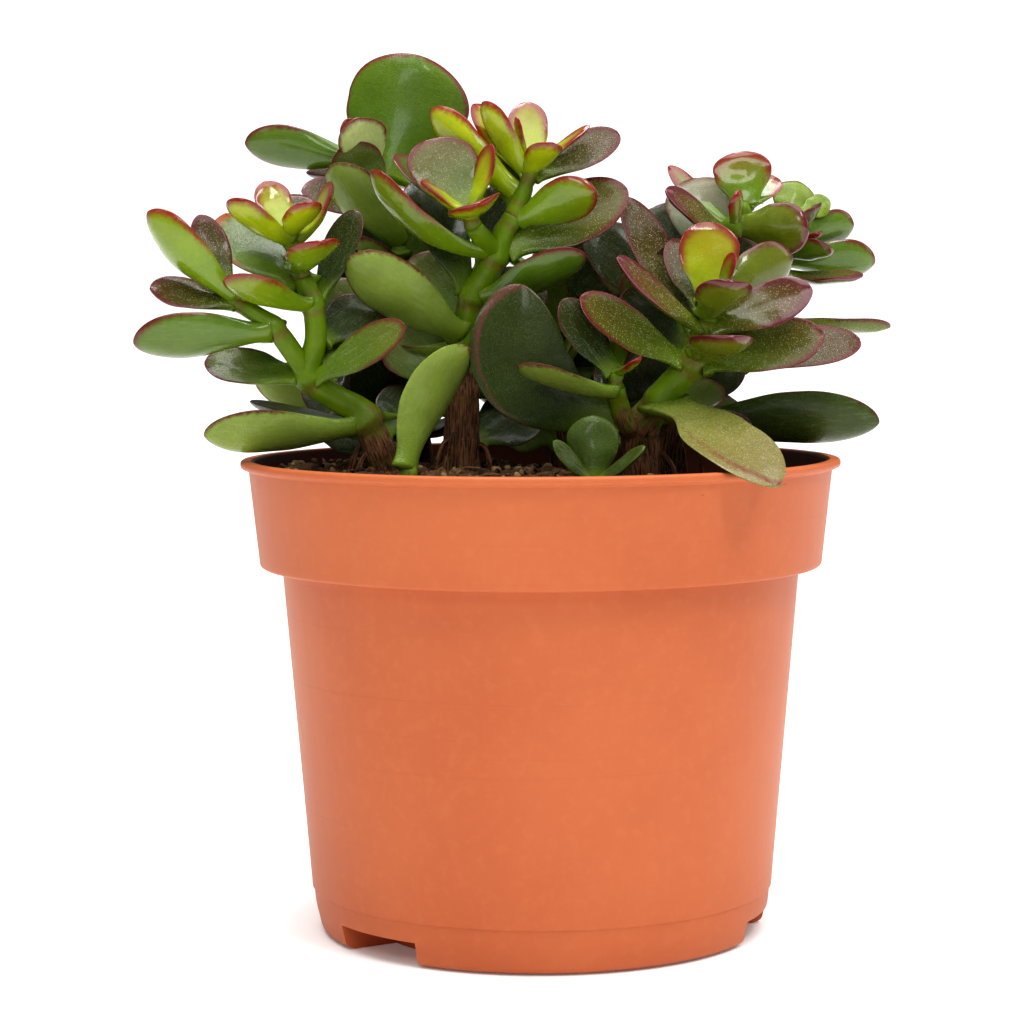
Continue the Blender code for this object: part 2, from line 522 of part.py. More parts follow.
def drain(name, azimuth, radius, bottom, top):
    x, y = around(azimuth, DRAIN_CENTRE)
    verts = []
    steps = 16
    for height in (bottom, top):
        for n in range(steps):
            turn = 2 * math.pi * n / steps
            verts.append((x + radius * math.cos(turn), y + radius * math.sin(turn), height))
    faces = [list(range(steps)), list(range(steps, 2 * steps))]
    for n in range(steps):
        faces.append([n, (n + 1) % steps, steps + (n + 1) % steps, steps + n])
    return mesh_object(name, verts, faces, "pot")


def soil_height(x, y):
    """Higher at the front and left, lower towards the back right, with small heaps."""
    slope = min(max((x + 0.6 * y + 8.0) / 60.0, 0.0), 1.0)
    height = SOIL_HIGH + (SOIL_LOW - SOIL_HIGH) * slope
    heaps = 0.5 * math.sin(0.31 * x + 1.0) * math.cos(0.27 * y) + 0.35 * math.sin(0.6 * y + 0.4 * x)
    return height + heaps


def inner_radius(height):
    """Radius of the pot's inside wall at a height."""
    share = (height - 6.0) / (SKIRT_LOW - 0.6 - 6.0)
    low = BODY_LOW_RADIUS - WALL
    high = BODY_TOP_RADIUS - WALL
    return low + (high - low) * share


def soil(stems):
    """The potting soil, which fills the pot and is holed where the stems go in."""
    low = 6.9
    profile = [(inner_radius(low) - GAP - 0.2, low), (inner_radius(SKIRT_LOW - 2.0) - GAP - 0.2, SKIRT_LOW - 2.0)]
    profile.append((BODY_TOP_RADIUS - WALL - 0.4, SKIRT_LOW + 3.0))
    profile.append((SKIRT_LOW_RADIUS - WALL - GAP - 0.5, SKIRT_LOW + 4.2))
    edge_radius = SKIRT_LOW_RADIUS - WALL - GAP + 0.5
    verts = [(0.0, 0.0, low)]
    rows = []
    for radius, height in profile:
        row = []
        for n in range(SOIL_STEPS):
            turn = 2 * math.pi * n / SOIL_STEPS
            row.append(len(verts))
            verts.append((radius * math.cos(turn), radius * math.sin(turn), height))
        rows.append(row)
    for ring in range(SOIL_RINGS):
        radius = edge_radius * (1.0 - ring / SOIL_RINGS)
        row = []
        for n in range(SOIL_STEPS):
            turn = 2 * math.pi * n / SOIL_STEPS
            x = radius * math.cos(turn)
            y = radius * math.sin(turn)
            row.append(len(verts))
            verts.append((x, y, soil_height(x, y)))
        rows.append(row)
    verts.append((0.0, 0.0, soil_height(0.0, 0.0)))
    last = len(verts) - 1
    faces = []
    for n in range(SOIL_STEPS):
        faces.append([0, rows[0][(n + 1) % SOIL_STEPS], rows[0][n]])
        faces.append([rows[-1][n], rows[-1][(n + 1) % SOIL_STEPS], last])
    for below, above in zip(rows[:-1], rows[1:]):
        for n in range(SOIL_STEPS):
            m = (n + 1) % SOIL_STEPS
            faces.append([below[n], below[m], above[m], above[n]])
    body = mesh_object("soil", verts, faces, "soil")
    for number, points in enumerate(stems):
        tool = helper(mesh_object("stem_hole_tool_%d" % number, *tube(points[:3], grow=GAP), "soil"))
        boolean(body, tool, "DIFFERENCE")
    return body


def joined(name, meshes, kind):
    """One body from several overlapping closed meshes."""
    body = mesh_object(name, *meshes[0], kind)
    for number, (verts, faces) in enumerate(meshes[1:]):
        piece = helper(mesh_object("%s_piece_%d" % (name, number), verts, faces, kind))
        boolean(body, piece, "UNION")
    return body


def crown(name, points, first, leaves):
    meshes = [tube(points, first)]
    for spec in leaves:
        meshes.append(leaf(*spec, outline=SMALL_OUTLINE, sides=CROWN_LEAF_SIDES))
    return joined(name, meshes, "crown")


def build():
    clear_scene()
    pot()
    stems = []
    for name, lengths in STEMS.items():
        joined(name, [tube(points, 0, last) for points, last in lengths], "stem")
        stems.extend(points for points, _last in lengths)
    rooted = [LEFT_STEM, CENTRE_STEM, RIGHT_STEM, BACK_LEFT_STEM, UPPER_RIGHT_STEM, BACK_STEM]
    soil(rooted + [SEEDLING_STEM, ROOTED_STEM])
    for name, spec in LEAVES.items():
        placed = clear_of_stems(spec, stems)
        mesh_object(name, *leaf(*placed), "leaf")
    for name, (points, first, leaves) in CROWNS.items():
        crown(name, points, first, leaves)
    crown("seedling", SEEDLING_STEM, 0, SEEDLING_LEAVES)
    joined("rooted_leaf", [tube(ROOTED_STEM), leaf(*ROOTED_LEAF)], "leaf")


build()
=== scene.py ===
import math

import bmesh
import bpy
import numpy as np
from mathutils import Matrix, Vector, noise


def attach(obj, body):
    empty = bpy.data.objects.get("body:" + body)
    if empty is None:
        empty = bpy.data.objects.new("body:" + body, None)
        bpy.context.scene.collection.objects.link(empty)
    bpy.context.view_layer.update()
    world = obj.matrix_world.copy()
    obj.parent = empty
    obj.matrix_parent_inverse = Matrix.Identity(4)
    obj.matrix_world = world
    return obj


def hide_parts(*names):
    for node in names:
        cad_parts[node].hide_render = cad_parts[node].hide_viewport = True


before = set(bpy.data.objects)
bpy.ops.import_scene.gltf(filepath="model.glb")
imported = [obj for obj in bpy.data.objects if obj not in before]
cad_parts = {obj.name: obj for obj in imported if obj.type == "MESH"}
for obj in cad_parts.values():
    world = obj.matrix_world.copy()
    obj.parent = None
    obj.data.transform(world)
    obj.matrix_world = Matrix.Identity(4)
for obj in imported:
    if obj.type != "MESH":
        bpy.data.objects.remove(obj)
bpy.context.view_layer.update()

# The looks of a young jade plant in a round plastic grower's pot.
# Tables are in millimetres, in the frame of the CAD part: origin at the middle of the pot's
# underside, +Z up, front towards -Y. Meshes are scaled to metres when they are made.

MM = 0.001

# Each stem is a list of (x, y, z, radius) points from the soil up.
LEFT_STEM = [
    (-28.5, -6, 80.5, 3.4), (-30.5, -7, 92.5, 3.2), (-35, -9, 103.5, 3.0), (-40.5, -10, 107.5, 2.6),
    (-45.5, -11, 111.5, 2.5), (-44, -12, 119, 2.2), (-44.5, -12, 125.5, 2.2), (-46.5, -12, 131, 1.8),
    (-48.5, -12, 138, 1.6), (-49.5, -12, 141, 1.2),
]
LEFT_SIDE_STEM = [
    (-45.5, -11, 111.5, 2.0), (-48.5, -13, 116.5, 2.0), (-52, -14.5, 121.5, 1.9), (-55.5, -14.5, 124, 1.7),
    (-59.5, -14, 126.5, 1.5), (-61, -13.5, 129, 1.1),
]
CENTRE_STEM = [
    (-17, 0, 80, 4.0), (-16, 0, 92, 4.0), (-15.5, 0, 105, 3.4), (-15, -1, 118, 2.8), (-13.5, -2, 126.5, 2.7),
    (-11, -3, 131, 2.7), (-8.5, -4, 135.5, 2.5), (-7, -4, 140, 2.2), (-5, -4, 143, 2.0), (-3.5, -4, 147, 1.7),
    (-2, -4, 151, 1.5), (-1.5, -4, 154, 1.1),
]
CENTRE_SIDE_STEM = [
    (-8.5, -4, 135.5, 1.8), (-11.5, -8, 139, 1.9), (-13, -9.5, 141, 1.8), (-14, -11, 144.5, 1.2),
]
RIGHT_STEM = [
    (20.5, -8, 80.5, 4.2), (20, -9, 92.5, 4.0), (19.5, -11, 100.5, 3.6), (22.5, -13, 105.5, 3.2),
    (25.5, -14, 109.5, 3.0), (29.5, -15, 114, 2.7), (31, -15.5, 118.5, 2.0), (32.5, -16, 122, 1.9),
    (33.5, -16, 127, 1.2),
]
FRONT_STEM = [
    (19.5, -11, 100.5, 2.2), (16.5, -15, 102.5, 2.2), (15, -18, 107, 1.8), (14.5, -19, 109.5, 1.6),
    (14.5, -19, 113.5, 1.1),
]
BACK_LEFT_STEM = [
    (-24.5, 18, 78.5, 3.6), (-25.5, 18, 94, 3.4), (-26.5, 18, 109.5, 3.0), (-28, 18, 124, 2.7),
    (-27.5, 18, 133, 2.5), (-32, 19, 146.5, 2.2), (-34.5, 20, 152.5, 1.9), (-35.5, 21, 156, 1.2),
]
UPPER_RIGHT_STEM = [
    (24.5, 12, 79, 3.8), (26.5, 11, 94.5, 3.4), (28.5, 9, 109.5, 3.0), (31.5, 6, 123, 2.6),
    (34, 4.5, 130.5, 2.4), (38, 3, 139, 2.1), (40.5, 3, 143.5, 1.8), (42, 3, 146, 1.2),
]
FAR_RIGHT_STEM = [
    (28.5, 11, 104.5, 2.6), (36.5, 18, 111.5, 2.6), (43, 22, 119.5, 2.5), (47.5, 24, 127, 2.2),
    (51.5, 25, 136.5, 2.0), (53.5, 26, 141.5, 1.6), (54.5, 26, 144.5, 1.2),
]
BACK_STEM = [
    (5, 32, 79, 3.8), (6, 33, 95, 3.4), (3.5, 34, 108, 3.0), (3.5, 35, 118, 2.5), (2, 35, 127, 2.1),
    (1, 35, 134, 1.6), (1, 35, 137, 1.2),
]

# Each stem body: its stems, each with the number of the point where its crown starts
STEMS = {
    "left_stem": [(LEFT_STEM, 7), (LEFT_SIDE_STEM, 5)],
    "centre_stem": [(CENTRE_STEM, 8), (CENTRE_SIDE_STEM, 2)],
    "right_stem": [(RIGHT_STEM, 7), (FRONT_STEM, 3)],
    "back_left_stem": [(BACK_LEFT_STEM, 2)],
    "back_right_stem": [(UPPER_RIGHT_STEM, 4), (FAR_RIGHT_STEM, 2)],
    "back_stem": [(BACK_STEM, 1)],
}

# Single leaves: name: (foot, tip, width, direction the upper side looks, bend, and for some sweep and neck)
LEAVES = {
    "left_leaf_1": ((-52, -15, 120.5), (-79, -18, 118.7), 11, (0, 1, 0.75), 0.0),
    "left_leaf_2": ((-52, -13, 122), (-58.5, 8, 121), 10, (0, 0, 1), 0.1),
    "left_leaf_3": ((-59.5, -14.5, 127.5), (-76, -16, 144), 10.5, (0.5, 0.9, 0.5), 0.06),
    "left_leaf_4": ((-59.5, -13.5, 126), (-76, -15, 129.3), 9, (0, -0.8, 1), 0.03),
    "left_leaf_5": ((-60.5, -13, 129), (-67, -8, 143.5), 7, (0.3, -1, 0.3), 0.05),
    "left_leaf_6": ((-35, -10, 101.8), (-66, -14, 100.5), 11.5, (0, 1, 0.9), 0.04),
    "left_leaf_7": ((-34.5, -8, 104), (-24.5, 14, 105.5), 11, (0, 0, 1), 0.08),
    "left_leaf_8": ((-45.5, -11, 111.5), (-66.5, -4, 115), 11, (0, -0.75, 1), 0.05),
    "left_leaf_9": ((-44.5, -12, 111), (-26, -22, 121.8), 8.2, (0, -1, 0.45), 0.0),
    "left_leaf_10": ((-44.5, -12.5, 125.5), (-60.5, -23, 131), 10.5, (0, 0.45, 1), 0.06),
    "left_leaf_11": ((-44, -11.5, 126), (-36.5, -4, 144.5), 9, (-0.7, -1, 0.3), 0.05),
    "left_leaf_12": ((-46.5, -11, 129), (-62.5, 3, 144), 15, (0.5, -1, 0.35), 0.02),
    "left_leaf_13": ((-35, -8, 102), (-58, -1, 106.5), 9, (0, -0.1, 1), 0.04),
    "left_leaf_14": ((-32, -4, 97), (-47.5, 9, 110), 9, (0.2, -1, 0.3), 0.02),
    "back_left_leaf_1": ((-31.5, 20, 151), (-24.5, 23, 177), 25.5, (0, 1, -0.15), -0.04),
    "back_left_leaf_2": ((-37.5, 21.5, 155.5), (-61, 26, 159.5), 9.5, (0, 1, 0.45), 0.0),
    "back_left_leaf_3": ((-26.5, 17, 100), (-58.5, 14, 111), 11.5, (0, 1, 0.3), 0.0),
    "centre_leaf_1": ((-9.5, -5, 135.5), (-33, -8, 152), 10, (0.3, 0.55, 1), 0.16),
    "centre_leaf_2": ((-14, -2, 127), (-25.5, 4, 150), 11, (0.3, -1, 0.5), -0.1),
    "centre_leaf_3": ((-12.5, -3, 126.5), (9, -10, 135.5), 10, (0, 0.75, 0.8), 0.04),
    "centre_leaf_4": ((-8, -4, 135.5), (17.5, -2, 148.5), 13.5, (-0.1, -1, 0.55), 0.03),
    "centre_leaf_5": ((-5, -4, 142), (11, -10, 148), 10, (0, 1, 0.45), 0.02),
    "centre_leaf_6": ((-15, -2.5, 119), (-37.5, -12, 135), 12, (0.3, 1, 0.45), 0.04),
    "centre_leaf_7": ((-15.5, -1, 117.5), (-28.5, 12, 117), 11, (0, 0, 1), 0.05),
    "centre_leaf_8": ((-15.5, 0, 108), (2, 16, 111.5), 12, (0, 0, 1), 0.06),
    "right_leaf_1": ((17, -15, 101.5), (-2.5, -16, 129.3), 15.5, (0, -1, 0.12), -0.03, 0.3, 0.42),
    "right_leaf_2": ((14.5, -19.5, 108.7), (-4.5, -25, 114), 9, (0, 0.35, 1), 0.05),
    "right_leaf_3": ((24, -15, 105.5), (44.5, -52, 93), 12.5, (0.15, -0.75, 1), -0.05, 0.0, 0.6),
    "right_leaf_4": ((28.7, 9, 106), (41.5, 3, 112.5), 8.5, (-0.3, -1, 0.5), 0.0),
    "right_leaf_5": ((29, -15.5, 113.5), (7.5, -21, 127), 10.5, (0.3, -1, 0.75), 0.04),
    "right_leaf_6": ((30, -15.5, 113.5), (55, -18, 119.5), 12, (-0.1, -1, 0.75), 0.02),
    "right_leaf_7": ((30.5, -13.5, 116), (64.5, 2, 118), 11.5, (-0.1, -1, 0.8), 0.04),
    "right_leaf_8": ((31, -17, 115.8), (36.5, -32, 119.5), 13, (0, 0.3, 1), 0.05),
    "right_leaf_9": ((31, -14.5, 119), (17.5, 3, 147), 10.5, (0.6, -1, 0.35), 0.03),
    "right_leaf_10": ((31.8, -16.5, 120.3), (14.5, -24, 134.5), 8.5, (0.3, -0.75, 1), 0.04),
    "right_leaf_11": ((31.8, -16.5, 120.3), (52.5, -19, 128.5), 10.5, (-0.1, -1, 0.75), 0.03),
    "back_right_leaf_1": ((29.5, 9, 101.5), (69.5, 10, 101.2), 13, (0, 1, 0.65), -0.01),
    "back_right_leaf_2": ((29, 8, 103.5), (41, -6, 100), 9, (0, -0.2, 1), -0.05),
    "back_right_leaf_3": ((32, 6, 125), (9.5, 8, 140), 14, (0.2, -1, 0.5), 0.04),
}

# Crowns: name: (stem, point where the crown starts, leaves); each is one body of young growth
CROWNS = {
    "left_crown": (LEFT_STEM, 7, [
        ((-47, -12, 133), (-42, -24, 138), 11, (-0.25, 0.15, 1), 0.05),
        ((-48.5, -12.5, 138), (-60, -20, 146), 7.5, (0.1, 0.7, 1), 0.06),
        ((-48, -11.5, 138), (-41, -8, 150), 7.5, (-1, -0.5, 0.4), 0.1),
        ((-49, -13, 140), (-44, -21, 145.5), 8, (-0.25, 0.2, 1), 0.06),
        ((-49.5, -11.5, 140.5), (-54, -8, 150), 7.5, (0.4, -1, 0.3), 0.05),
        ((-49, -10.5, 140.5), (-47.5, -4, 147.5), 7.5, (0, -1, 0.5), 0.03),
        ((-49, -11.5, 139.5), (-58, -5, 146.5), 7, (0.5, -0.2, 1), 0.05),
    ]),
    "centre_crown": (CENTRE_STEM, 8, [
        ((-4.5, -3.5, 144.5), (-9, 3, 155.5), 7.5, (0.3, 1, 0.2), 0.03),
        ((-2, -4, 151), (-11, -6, 165.5), 8.5, (0.8, 0.6, 0.3), 0.06),
        ((-2, -3.5, 151), (-13, 1, 165.5), 8, (0.6, -0.8, 0.4), 0.04),
        ((-4, -3.5, 147), (-21.5, 2, 164.5), 9, (0.5, 0.9, 0.4), 0.05),
        ((-1.5, -4, 151), (16, 1, 159.5), 9, (-0.1, -1, 0.75), 0.04),
        ((-1.5, -3.5, 153), (-2.5, 4, 166), 8, (0.1, -1, 0.25), 0.03),
        ((-2, -4.5, 152), (2.5, -12, 157), 7.5, (-0.1, 0.5, 1), 0.04),
        ((-2, -4.5, 153), (-4.5, -6, 162.5), 3.2, (0.8, 0.3, 0.2), 0.04),
        ((-1.5, -4, 153), (10, -2, 161), 3.6, (-0.3, -0.5, 1), 0.03),
    ]),
    "centre_side_crown": (CENTRE_SIDE_STEM, 2, [
        ((-14, -10.5, 144), (-22.3, -5, 158), 14.5, (0.3, -1, 0.35), 0.02),
        ((-14, -11, 144), (-9.5, -10, 157), 6.5, (-0.9, -0.6, 0.2), 0.08),
        ((-13.5, -10.5, 143.5), (-12, -22, 145), 11, (-0.42, 0.1, 1), 0.03),
        ((-14, -11, 143.5), (-23, -17, 149.5), 5.5, (0.3, -0.5, 1), 0.03),
        ((-14, -10, 143.5), (-28.5, 0, 155.5), 8, (0.4, -0.6, 0.7), 0.03),
    ]),
    "right_crown": (RIGHT_STEM, 7, [
        ((32.5, -16.5, 123.5), (36.5, -28, 130), 11, (-0.1, 0.55, 1), 0.03),
        ((33, -15.5, 126), (32.5, -13, 141.5), 12, (0.15, -1, 0.1), 0.0),
        ((33.5, -16, 126), (37.5, -17, 135.5), 4.5, (-0.8, -0.6, 0.3), 0.06),
        ((32.5, -15.5, 123.5), (27, -5, 138.5), 9.5, (0.3, -1, 0.45), 0.03),
        ((33.5, -15.5, 126.5), (50, -6, 134.5), 12, (-0.3, 1, 0.35), 0.03),
    ]),
    "front_crown": (FRONT_STEM, 3, [
        ((14.5, -19, 112), (4, -20.5, 126.5), 8.5, (0.4, -1, 0.3), 0.03),
        ((14.5, -19.5, 112.5), (19, -25, 115.5), 4, (-0.3, -0.2, 1), 0.05),
        ((14.5, -19, 112.5), (15, -15, 120), 5, (0, -1, 0.2), 0.03),
    ]),
    "back_left_crown": (BACK_LEFT_STEM, 2, [
        ((-27, 18, 112), (-13, 15, 121), 11, (0, -1, 0.6), 0.04),
        ((-27, 18, 113), (-41, 35, 118), 13, (0, -0.3, 1), 0.06),
        ((-28, 18, 125), (-38.5, 10, 133.5), 9.5, (0, -1, 0.3), 0.04),
        ((-28, 18, 125), (-19, 37, 132), 12, (0, -0.3, 1), 0.05),
        ((-28, 18, 126), (-14, 9, 138), 11, (0, -1, 0.5), 0.04),
        ((-34.5, 19.5, 152.5), (-37, 12, 163.5), 10.5, (0.1, -1, 0.25), 0.02),
        ((-35.5, 20.5, 155), (-39.5, 17, 163.5), 6, (0.3, -1, 0.3), 0.02),
        ((-28, 17.5, 137.5), (-41.5, 6, 154), 11.5, (0.4, 1, 0.4), 0.06),
        ((-31.5, 19, 145.5), (-48.5, 15, 149), 9, (0, -0.9, 0.8), 0.04),
        ((-34, 20, 151.5), (-48, 28, 153.5), 8, (0, -0.3, 1), 0.04),
        ((-28, 17, 136), (-37, 4, 139.5), 9, (0, -0.2, 1), 0.12),
        ((-27.5, 18.5, 136), (-18.5, 32, 149), 12, (0, -0.5, 1), 0.05),
    ]),
    "upper_right_crown": (UPPER_RIGHT_STEM, 4, [
        ((39, 3, 141), (53.5, -3, 140), 10.5, (-0.05, 1, 0.25), 0.0),
        ((39, 2.5, 140), (39.5, -2, 148), 5, (-0.8, 0.6, 0.2), 0.03),
        ((38, 2.5, 139), (25, -4, 148), 8, (0.3, -0.8, 0.9), 0.03),
        ((39, 3.5, 140), (26.5, 12, 153.5), 5, (0.4, -0.9, 0.5), 0.03),
        ((35, 4.5, 133), (32.5, 10, 151), 16, (0.15, -1, 0.2), 0.0),
        ((41.5, 3.5, 145), (40.5, 5, 156), 11.8, (-0.1, -1, 0.15), 0.0),
        ((41.5, 3.5, 145), (48, 8, 151), 7, (-0.5, -0.8, 0.2), 0.03),
        ((34.5, 5, 132), (22, 24, 144), 11, (0.3, -1, 0.4), 0.04),
    ]),
    "far_right_crown": (FAR_RIGHT_STEM, 2, [
        ((53, 25.5, 139.5), (54.5, 30, 151), 10, (-0.2, 1, 0.2), 0.0),
        ((53, 25.5, 140), (56.5, 16, 145), 9, (-0.2, -0.6, 1), 0.03),
        ((54, 26, 143.5), (61, 27, 147), 6, (-0.2, -0.8, 0.5), 0.1),
        ((52.5, 25.5, 139), (66.5, 30, 142), 8.5, (-0.1, 1, 0.5), 0.03),
        ((52, 25, 137.5), (58, 17, 140), 5, (-0.2, -0.2, 1), 0.03),
        ((51.5, 25, 136.5), (64, 34, 140), 8, (-0.1, 1, 0.5), 0.03),
        ((51, 25, 136), (60, 16, 137), 8, (-0.2, 0.8, 0.7), 0.06),
        ((51, 25, 135), (71, 30, 134), 9.5, (-0.1, 1, 0.5), 0.03),
        ((49.5, 24.5, 131.5), (66.5, 15, 131), 8.5, (0, -0.25, 1), 0.04),
        ((43.5, 22, 121.5), (73.8, 26, 120.5), 9, (0, 0.3, 1), 0.02),
    ]),
    "back_crown": (BACK_STEM, 1, [
        ((4.5, 33.5, 101), (-13, 46, 107), 12, (0.2, -0.2, 1), 0.06),
        ((4.5, 33.5, 101), (20, 47, 106), 12, (-0.2, -0.2, 1), 0.06),
        ((4, 34, 110), (26, 27, 120), 15, (0, -1, 0.45), 0.05),
        ((4, 34, 110), (-13, 25, 118), 15, (0, -1, 0.55), 0.05),
        ((4, 34, 112), (10, 18, 123), 13, (0, -1, 0.8), 0.03),
        ((4, 34, 112), (-4, 54, 119), 13, (0, -0.3, 1), 0.08),
        ((3, 35, 121), (22, 45, 127), 12, (-0.1, 0.1, 1), 0.05),
        ((3, 35, 121), (-14, 45, 128), 12, (0.1, 0.1, 1), 0.05),
        ((2, 35, 127), (8, 53, 135), 11, (0, -0.3, 1), 0.08),
        ((1, 35, 132), (14, 38, 139), 9, (-0.3, 0, 1), 0.06),
        ((1, 35, 132), (-10, 40, 139), 9, (0.3, 0, 1), 0.06),
        ((1, 35, 135), (3, 43, 142), 7, (0, -0.8, 1), 0.05),
        ((1, 35, 135), (1, 28, 141), 7, (0, 0.8, 1), 0.05),
    ]),
}

# Two small plants of their own, set in the soil in front
SEEDLING_STEM = [(9, -40, 84, 1.6), (9.5, -40, 91, 1.5), (9.5, -40.5, 93.5, 1.0)]
SEEDLING_LEAVES = [
    ((9.5, -40, 92.5), (9.5, -38, 105), 9.8, (0, 1, 0.1), 0.0),
    ((9.5, -40.5, 92.5), (2, -43, 100.5), 4.2, (0.3, -0.7, 0.6), 0.05),
    ((9.5, -40.5, 92.5), (19, -44, 99.5), 5, (-0.2, -0.5, 1), 0.05),
]
ROOTED_STEM = [(-26, -25, 84, 1.9), (-26, -25, 91, 1.9), (-25, -24.5, 95.5, 1.7)]
ROOTED_LEAF = ((-26, -24.7, 94), (-14.5, -22, 118), 10.5, (-0.8, 0.75, 0.3), -0.1)


# Looks of a leaf: upper colour, underside colour, margin colour, margin width in mm, colour of the
# tint towards the tip, amount of tint, amount of pale specks, amount of pale streaks, roughness, glossy
LOOKS = {
    "mature": ("546c1a", "82983c", "5c2c1c", 0.60, "5c4022", 0.35, 0.30, 0.40, 0.38, False),
    # The next look is a darker copy of mature for leaves that sit in shade: its darkness is painted shade.
    "dark": ("28380c", "384a12", "48281a", 0.40, "3c3014", 0.35, 0.30, 0.25, 0.34, False),
    "green": ("42600a", "567416", "621e18", 0.95, "64401c", 0.30, 0.10, 0.20, 0.32, True),
    "young": ("60800c", "708c12", "7c2014", 1.15, "844018", 0.50, 0.05, 0.15, 0.24, True),
    "tip": ("98a60c", "9cac12", "801e18", 1.15, "8c4018", 0.40, 0.00, 0.10, 0.20, True),
    "wine": ("505010", "627014", "5c1420", 1.30, "582410", 0.75, 0.80, 0.10, 0.24, True),
    "brown": ("464a16", "525e18", "581e1a", 0.75, "4c2a16", 0.75, 1.00, 0.20, 0.26, False),
    "olive": ("4c5c10", "5c6c14", "5c2018", 0.80, "583a18", 0.60, 0.80, 0.15, 0.26, False),
    "blue": ("2c3c0a", "34460e", "5c382c", 0.40, "343010", 0.30, 0.05, 0.00, 0.28, False),
    "red": ("7c3018", "6c7818", "7c1a1a", 1.30, "742018", 0.70, 0.20, 0.00, 0.24, True),
    "pale": ("6c7030", "707832", "70442c", 0.50, "7c6040", 0.50, 1.00, 0.20, 0.28, False),
    # The next look's pale grey colour and streaks are a painted reflection on a dimpled leaf.
    "silver": ("848a70", "6c7450", "6c4a3c", 0.60, "7c6a58", 0.45, 0.30, 0.80, 0.30, False),
    # The next look's near-white colour is a painted sheen on a glossy leaf.
    "gleam": ("c8d48c", "b0c050", "6c3020", 0.60, "98a058", 0.10, 0.00, 0.60, 0.20, True),
    "satin": ("405e08", "52700e", "6c2018", 0.95, "6a4420", 0.20, 0.10, 0.10, 0.34, False),
    # The next look's dark olive tint is painted shade inside the hollow of a cupped leaf.
    "cup": ("506a0a", "78901a", "90400e", 1.20, "44480c", 0.50, 0.10, 0.10, 0.30, False),
    "bright": ("748c14", "7c941c", "6a8014", 0.30, "80a01c", 0.05, 0.00, 0.05, 0.34, False),
    "sprout": ("344208", "3e500a", "405010", 0.30, "40500e", 0.10, 0.10, 0.10, 0.46, False),
}

LEAF_LOOKS = {
    "left_leaf_1": "green", "left_leaf_2": "green", "left_leaf_3": "young", "left_leaf_4": "brown",
    "left_leaf_5": "brown", "left_leaf_6": "mature", "left_leaf_7": "mature", "left_leaf_8": "mature",
    "left_leaf_9": "mature", "left_leaf_10": "young", "left_leaf_11": "dark", "left_leaf_12": "cup",
    "left_leaf_13": "dark", "left_leaf_14": "dark", "back_left_leaf_1": "satin", "back_left_leaf_2": "green",
    "back_left_leaf_3": "mature", "centre_leaf_1": "young", "centre_leaf_2": "blue", "centre_leaf_3": "green",
    "centre_leaf_4": "olive", "centre_leaf_5": "young", "centre_leaf_6": "mature", "centre_leaf_7": "mature",
    "centre_leaf_8": "dark", "right_leaf_1": "blue", "right_leaf_2": "mature", "right_leaf_3": "pale",
    "right_leaf_4": "dark", "right_leaf_5": "olive", "right_leaf_6": "olive", "right_leaf_7": "brown",
    "right_leaf_8": "wine", "right_leaf_9": "brown", "right_leaf_10": "wine", "right_leaf_11": "wine",
    "back_right_leaf_1": "dark", "back_right_leaf_2": "brown", "back_right_leaf_3": "dark",
}
CROWN_LOOKS = {
    "left_crown": "young tip tip tip tip brown brown",
    "centre_crown": "olive tip tip tip brown tip tip tip tip",
    "centre_side_crown": "olive tip tip tip green",
    "right_crown": "wine tip young brown wine",
    "front_crown": "dark young green",
    "back_left_crown": "mature mature mature mature mature gleam young mature brown brown mature mature",
    "upper_right_crown": "wine red wine young silver young young brown",
    "far_right_crown": "mature brown bright green red green green green wine olive",
    "back_crown": "mature mature mature dark mature mature mature green green mature green green green",
    "seedling": "sprout sprout sprout",
}

